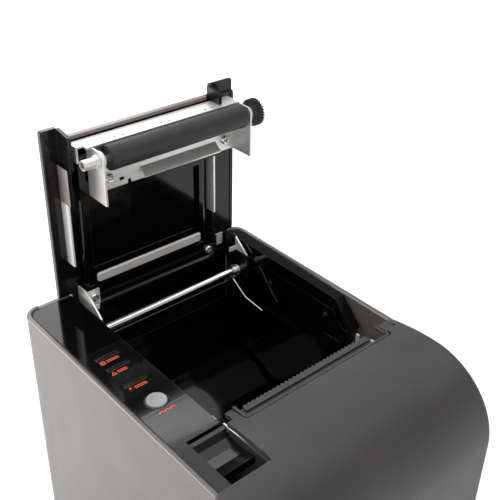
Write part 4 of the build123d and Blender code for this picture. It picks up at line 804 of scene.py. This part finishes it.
# ------------------------------------------------------------------ stage, light and camera
def stage_floor():
    mesh = bpy.data.meshes.new("floor")
    shape = bmesh.new()
    bmesh.ops.create_grid(shape, x_segments=1, y_segments=1, size=6)
    shape.to_mesh(mesh)
    shape.free()
    floor = bpy.data.objects.new("floor", mesh)
    bpy.context.scene.collection.objects.link(floor)
    material, shader = new_material("floor")
    shader.inputs["Base Color"].default_value = (0.93, 0.93, 0.93, 1)
    shader.inputs["Roughness"].default_value = 0.9
    mesh.materials.append(material)


def area_light(name, place, target, size, power, colour=(1, 1, 1)):
    data = bpy.data.lights.new(name, "AREA")
    data.shape = "RECTANGLE"
    data.size, data.size_y = size
    data.energy = power
    data.color = colour
    lamp = bpy.data.objects.new(name, data)
    lamp.location = place
    lamp.rotation_euler = (Vector(target) - Vector(place)).to_track_quat("-Z", "Y").to_euler()
    bpy.context.scene.collection.objects.link(lamp)


def studio():
    """A bright tent overhead with a dark band below it, and two softboxes outside the view."""
    world = bpy.data.worlds.new("studio")
    world.use_nodes = True
    tree = world.node_tree
    coords = tree.nodes.new("ShaderNodeTexCoord")
    split = tree.nodes.new("ShaderNodeSeparateXYZ")
    tree.links.new(coords.outputs["Generated"], split.inputs["Vector"])
    bands = [(0.0, 0.57), (0.25, 0.50), (0.50, 0.12), (0.655, 0.14), (0.70, 1.0)]
    tent = ramp(tree, split.outputs["Z"], bands)
    tree.links.new(tent, tree.nodes["Background"].inputs["Color"])
    tree.nodes["Background"].inputs["Strength"].default_value = 1.75
    bpy.context.scene.world = world
    bpy.context.scene.view_settings.view_transform = "Standard"
    top = (0, 0, DECK)
    area_light("softbox_left", (-0.9, 0.75, 0.35), (0, 0.05, 0.08), (0.7, 0.6), 14, (1.0, 0.97, 0.94))
    area_light("softbox_back", (0.15, 1.1, 0.9), top, (1.2, 0.7), 8)


def camera():
    """The camera stands left of the front corner and looks down at about 32 degrees."""
    data = bpy.data.cameras.new("camera")
    data.sensor_width = 36.0
    data.lens = 60.26
    view = bpy.data.objects.new("camera", data)
    azimuth, pitch, roll = radians(-41.468), radians(31.80), radians(1.257)
    forward = Vector((-sin(azimuth) * cos(pitch), cos(azimuth) * cos(pitch), -sin(pitch)))
    right = forward.cross(Vector((0, 0, 1))).normalized()
    up = right.cross(forward)
    tilted_right = right * cos(roll) + up * sin(roll)
    tilted_up = up * cos(roll) - right * sin(roll)
    turn = Matrix((tilted_right, tilted_up, -forward)).transposed().to_4x4()
    place = Vector((-0.2149, BACK - 0.3389, DECK + 0.2572))
    view.matrix_world = Matrix.Translation(place) @ turn
    bpy.context.scene.collection.objects.link(view)
    bpy.context.scene.camera = view


stage_floor()
studio()
camera()
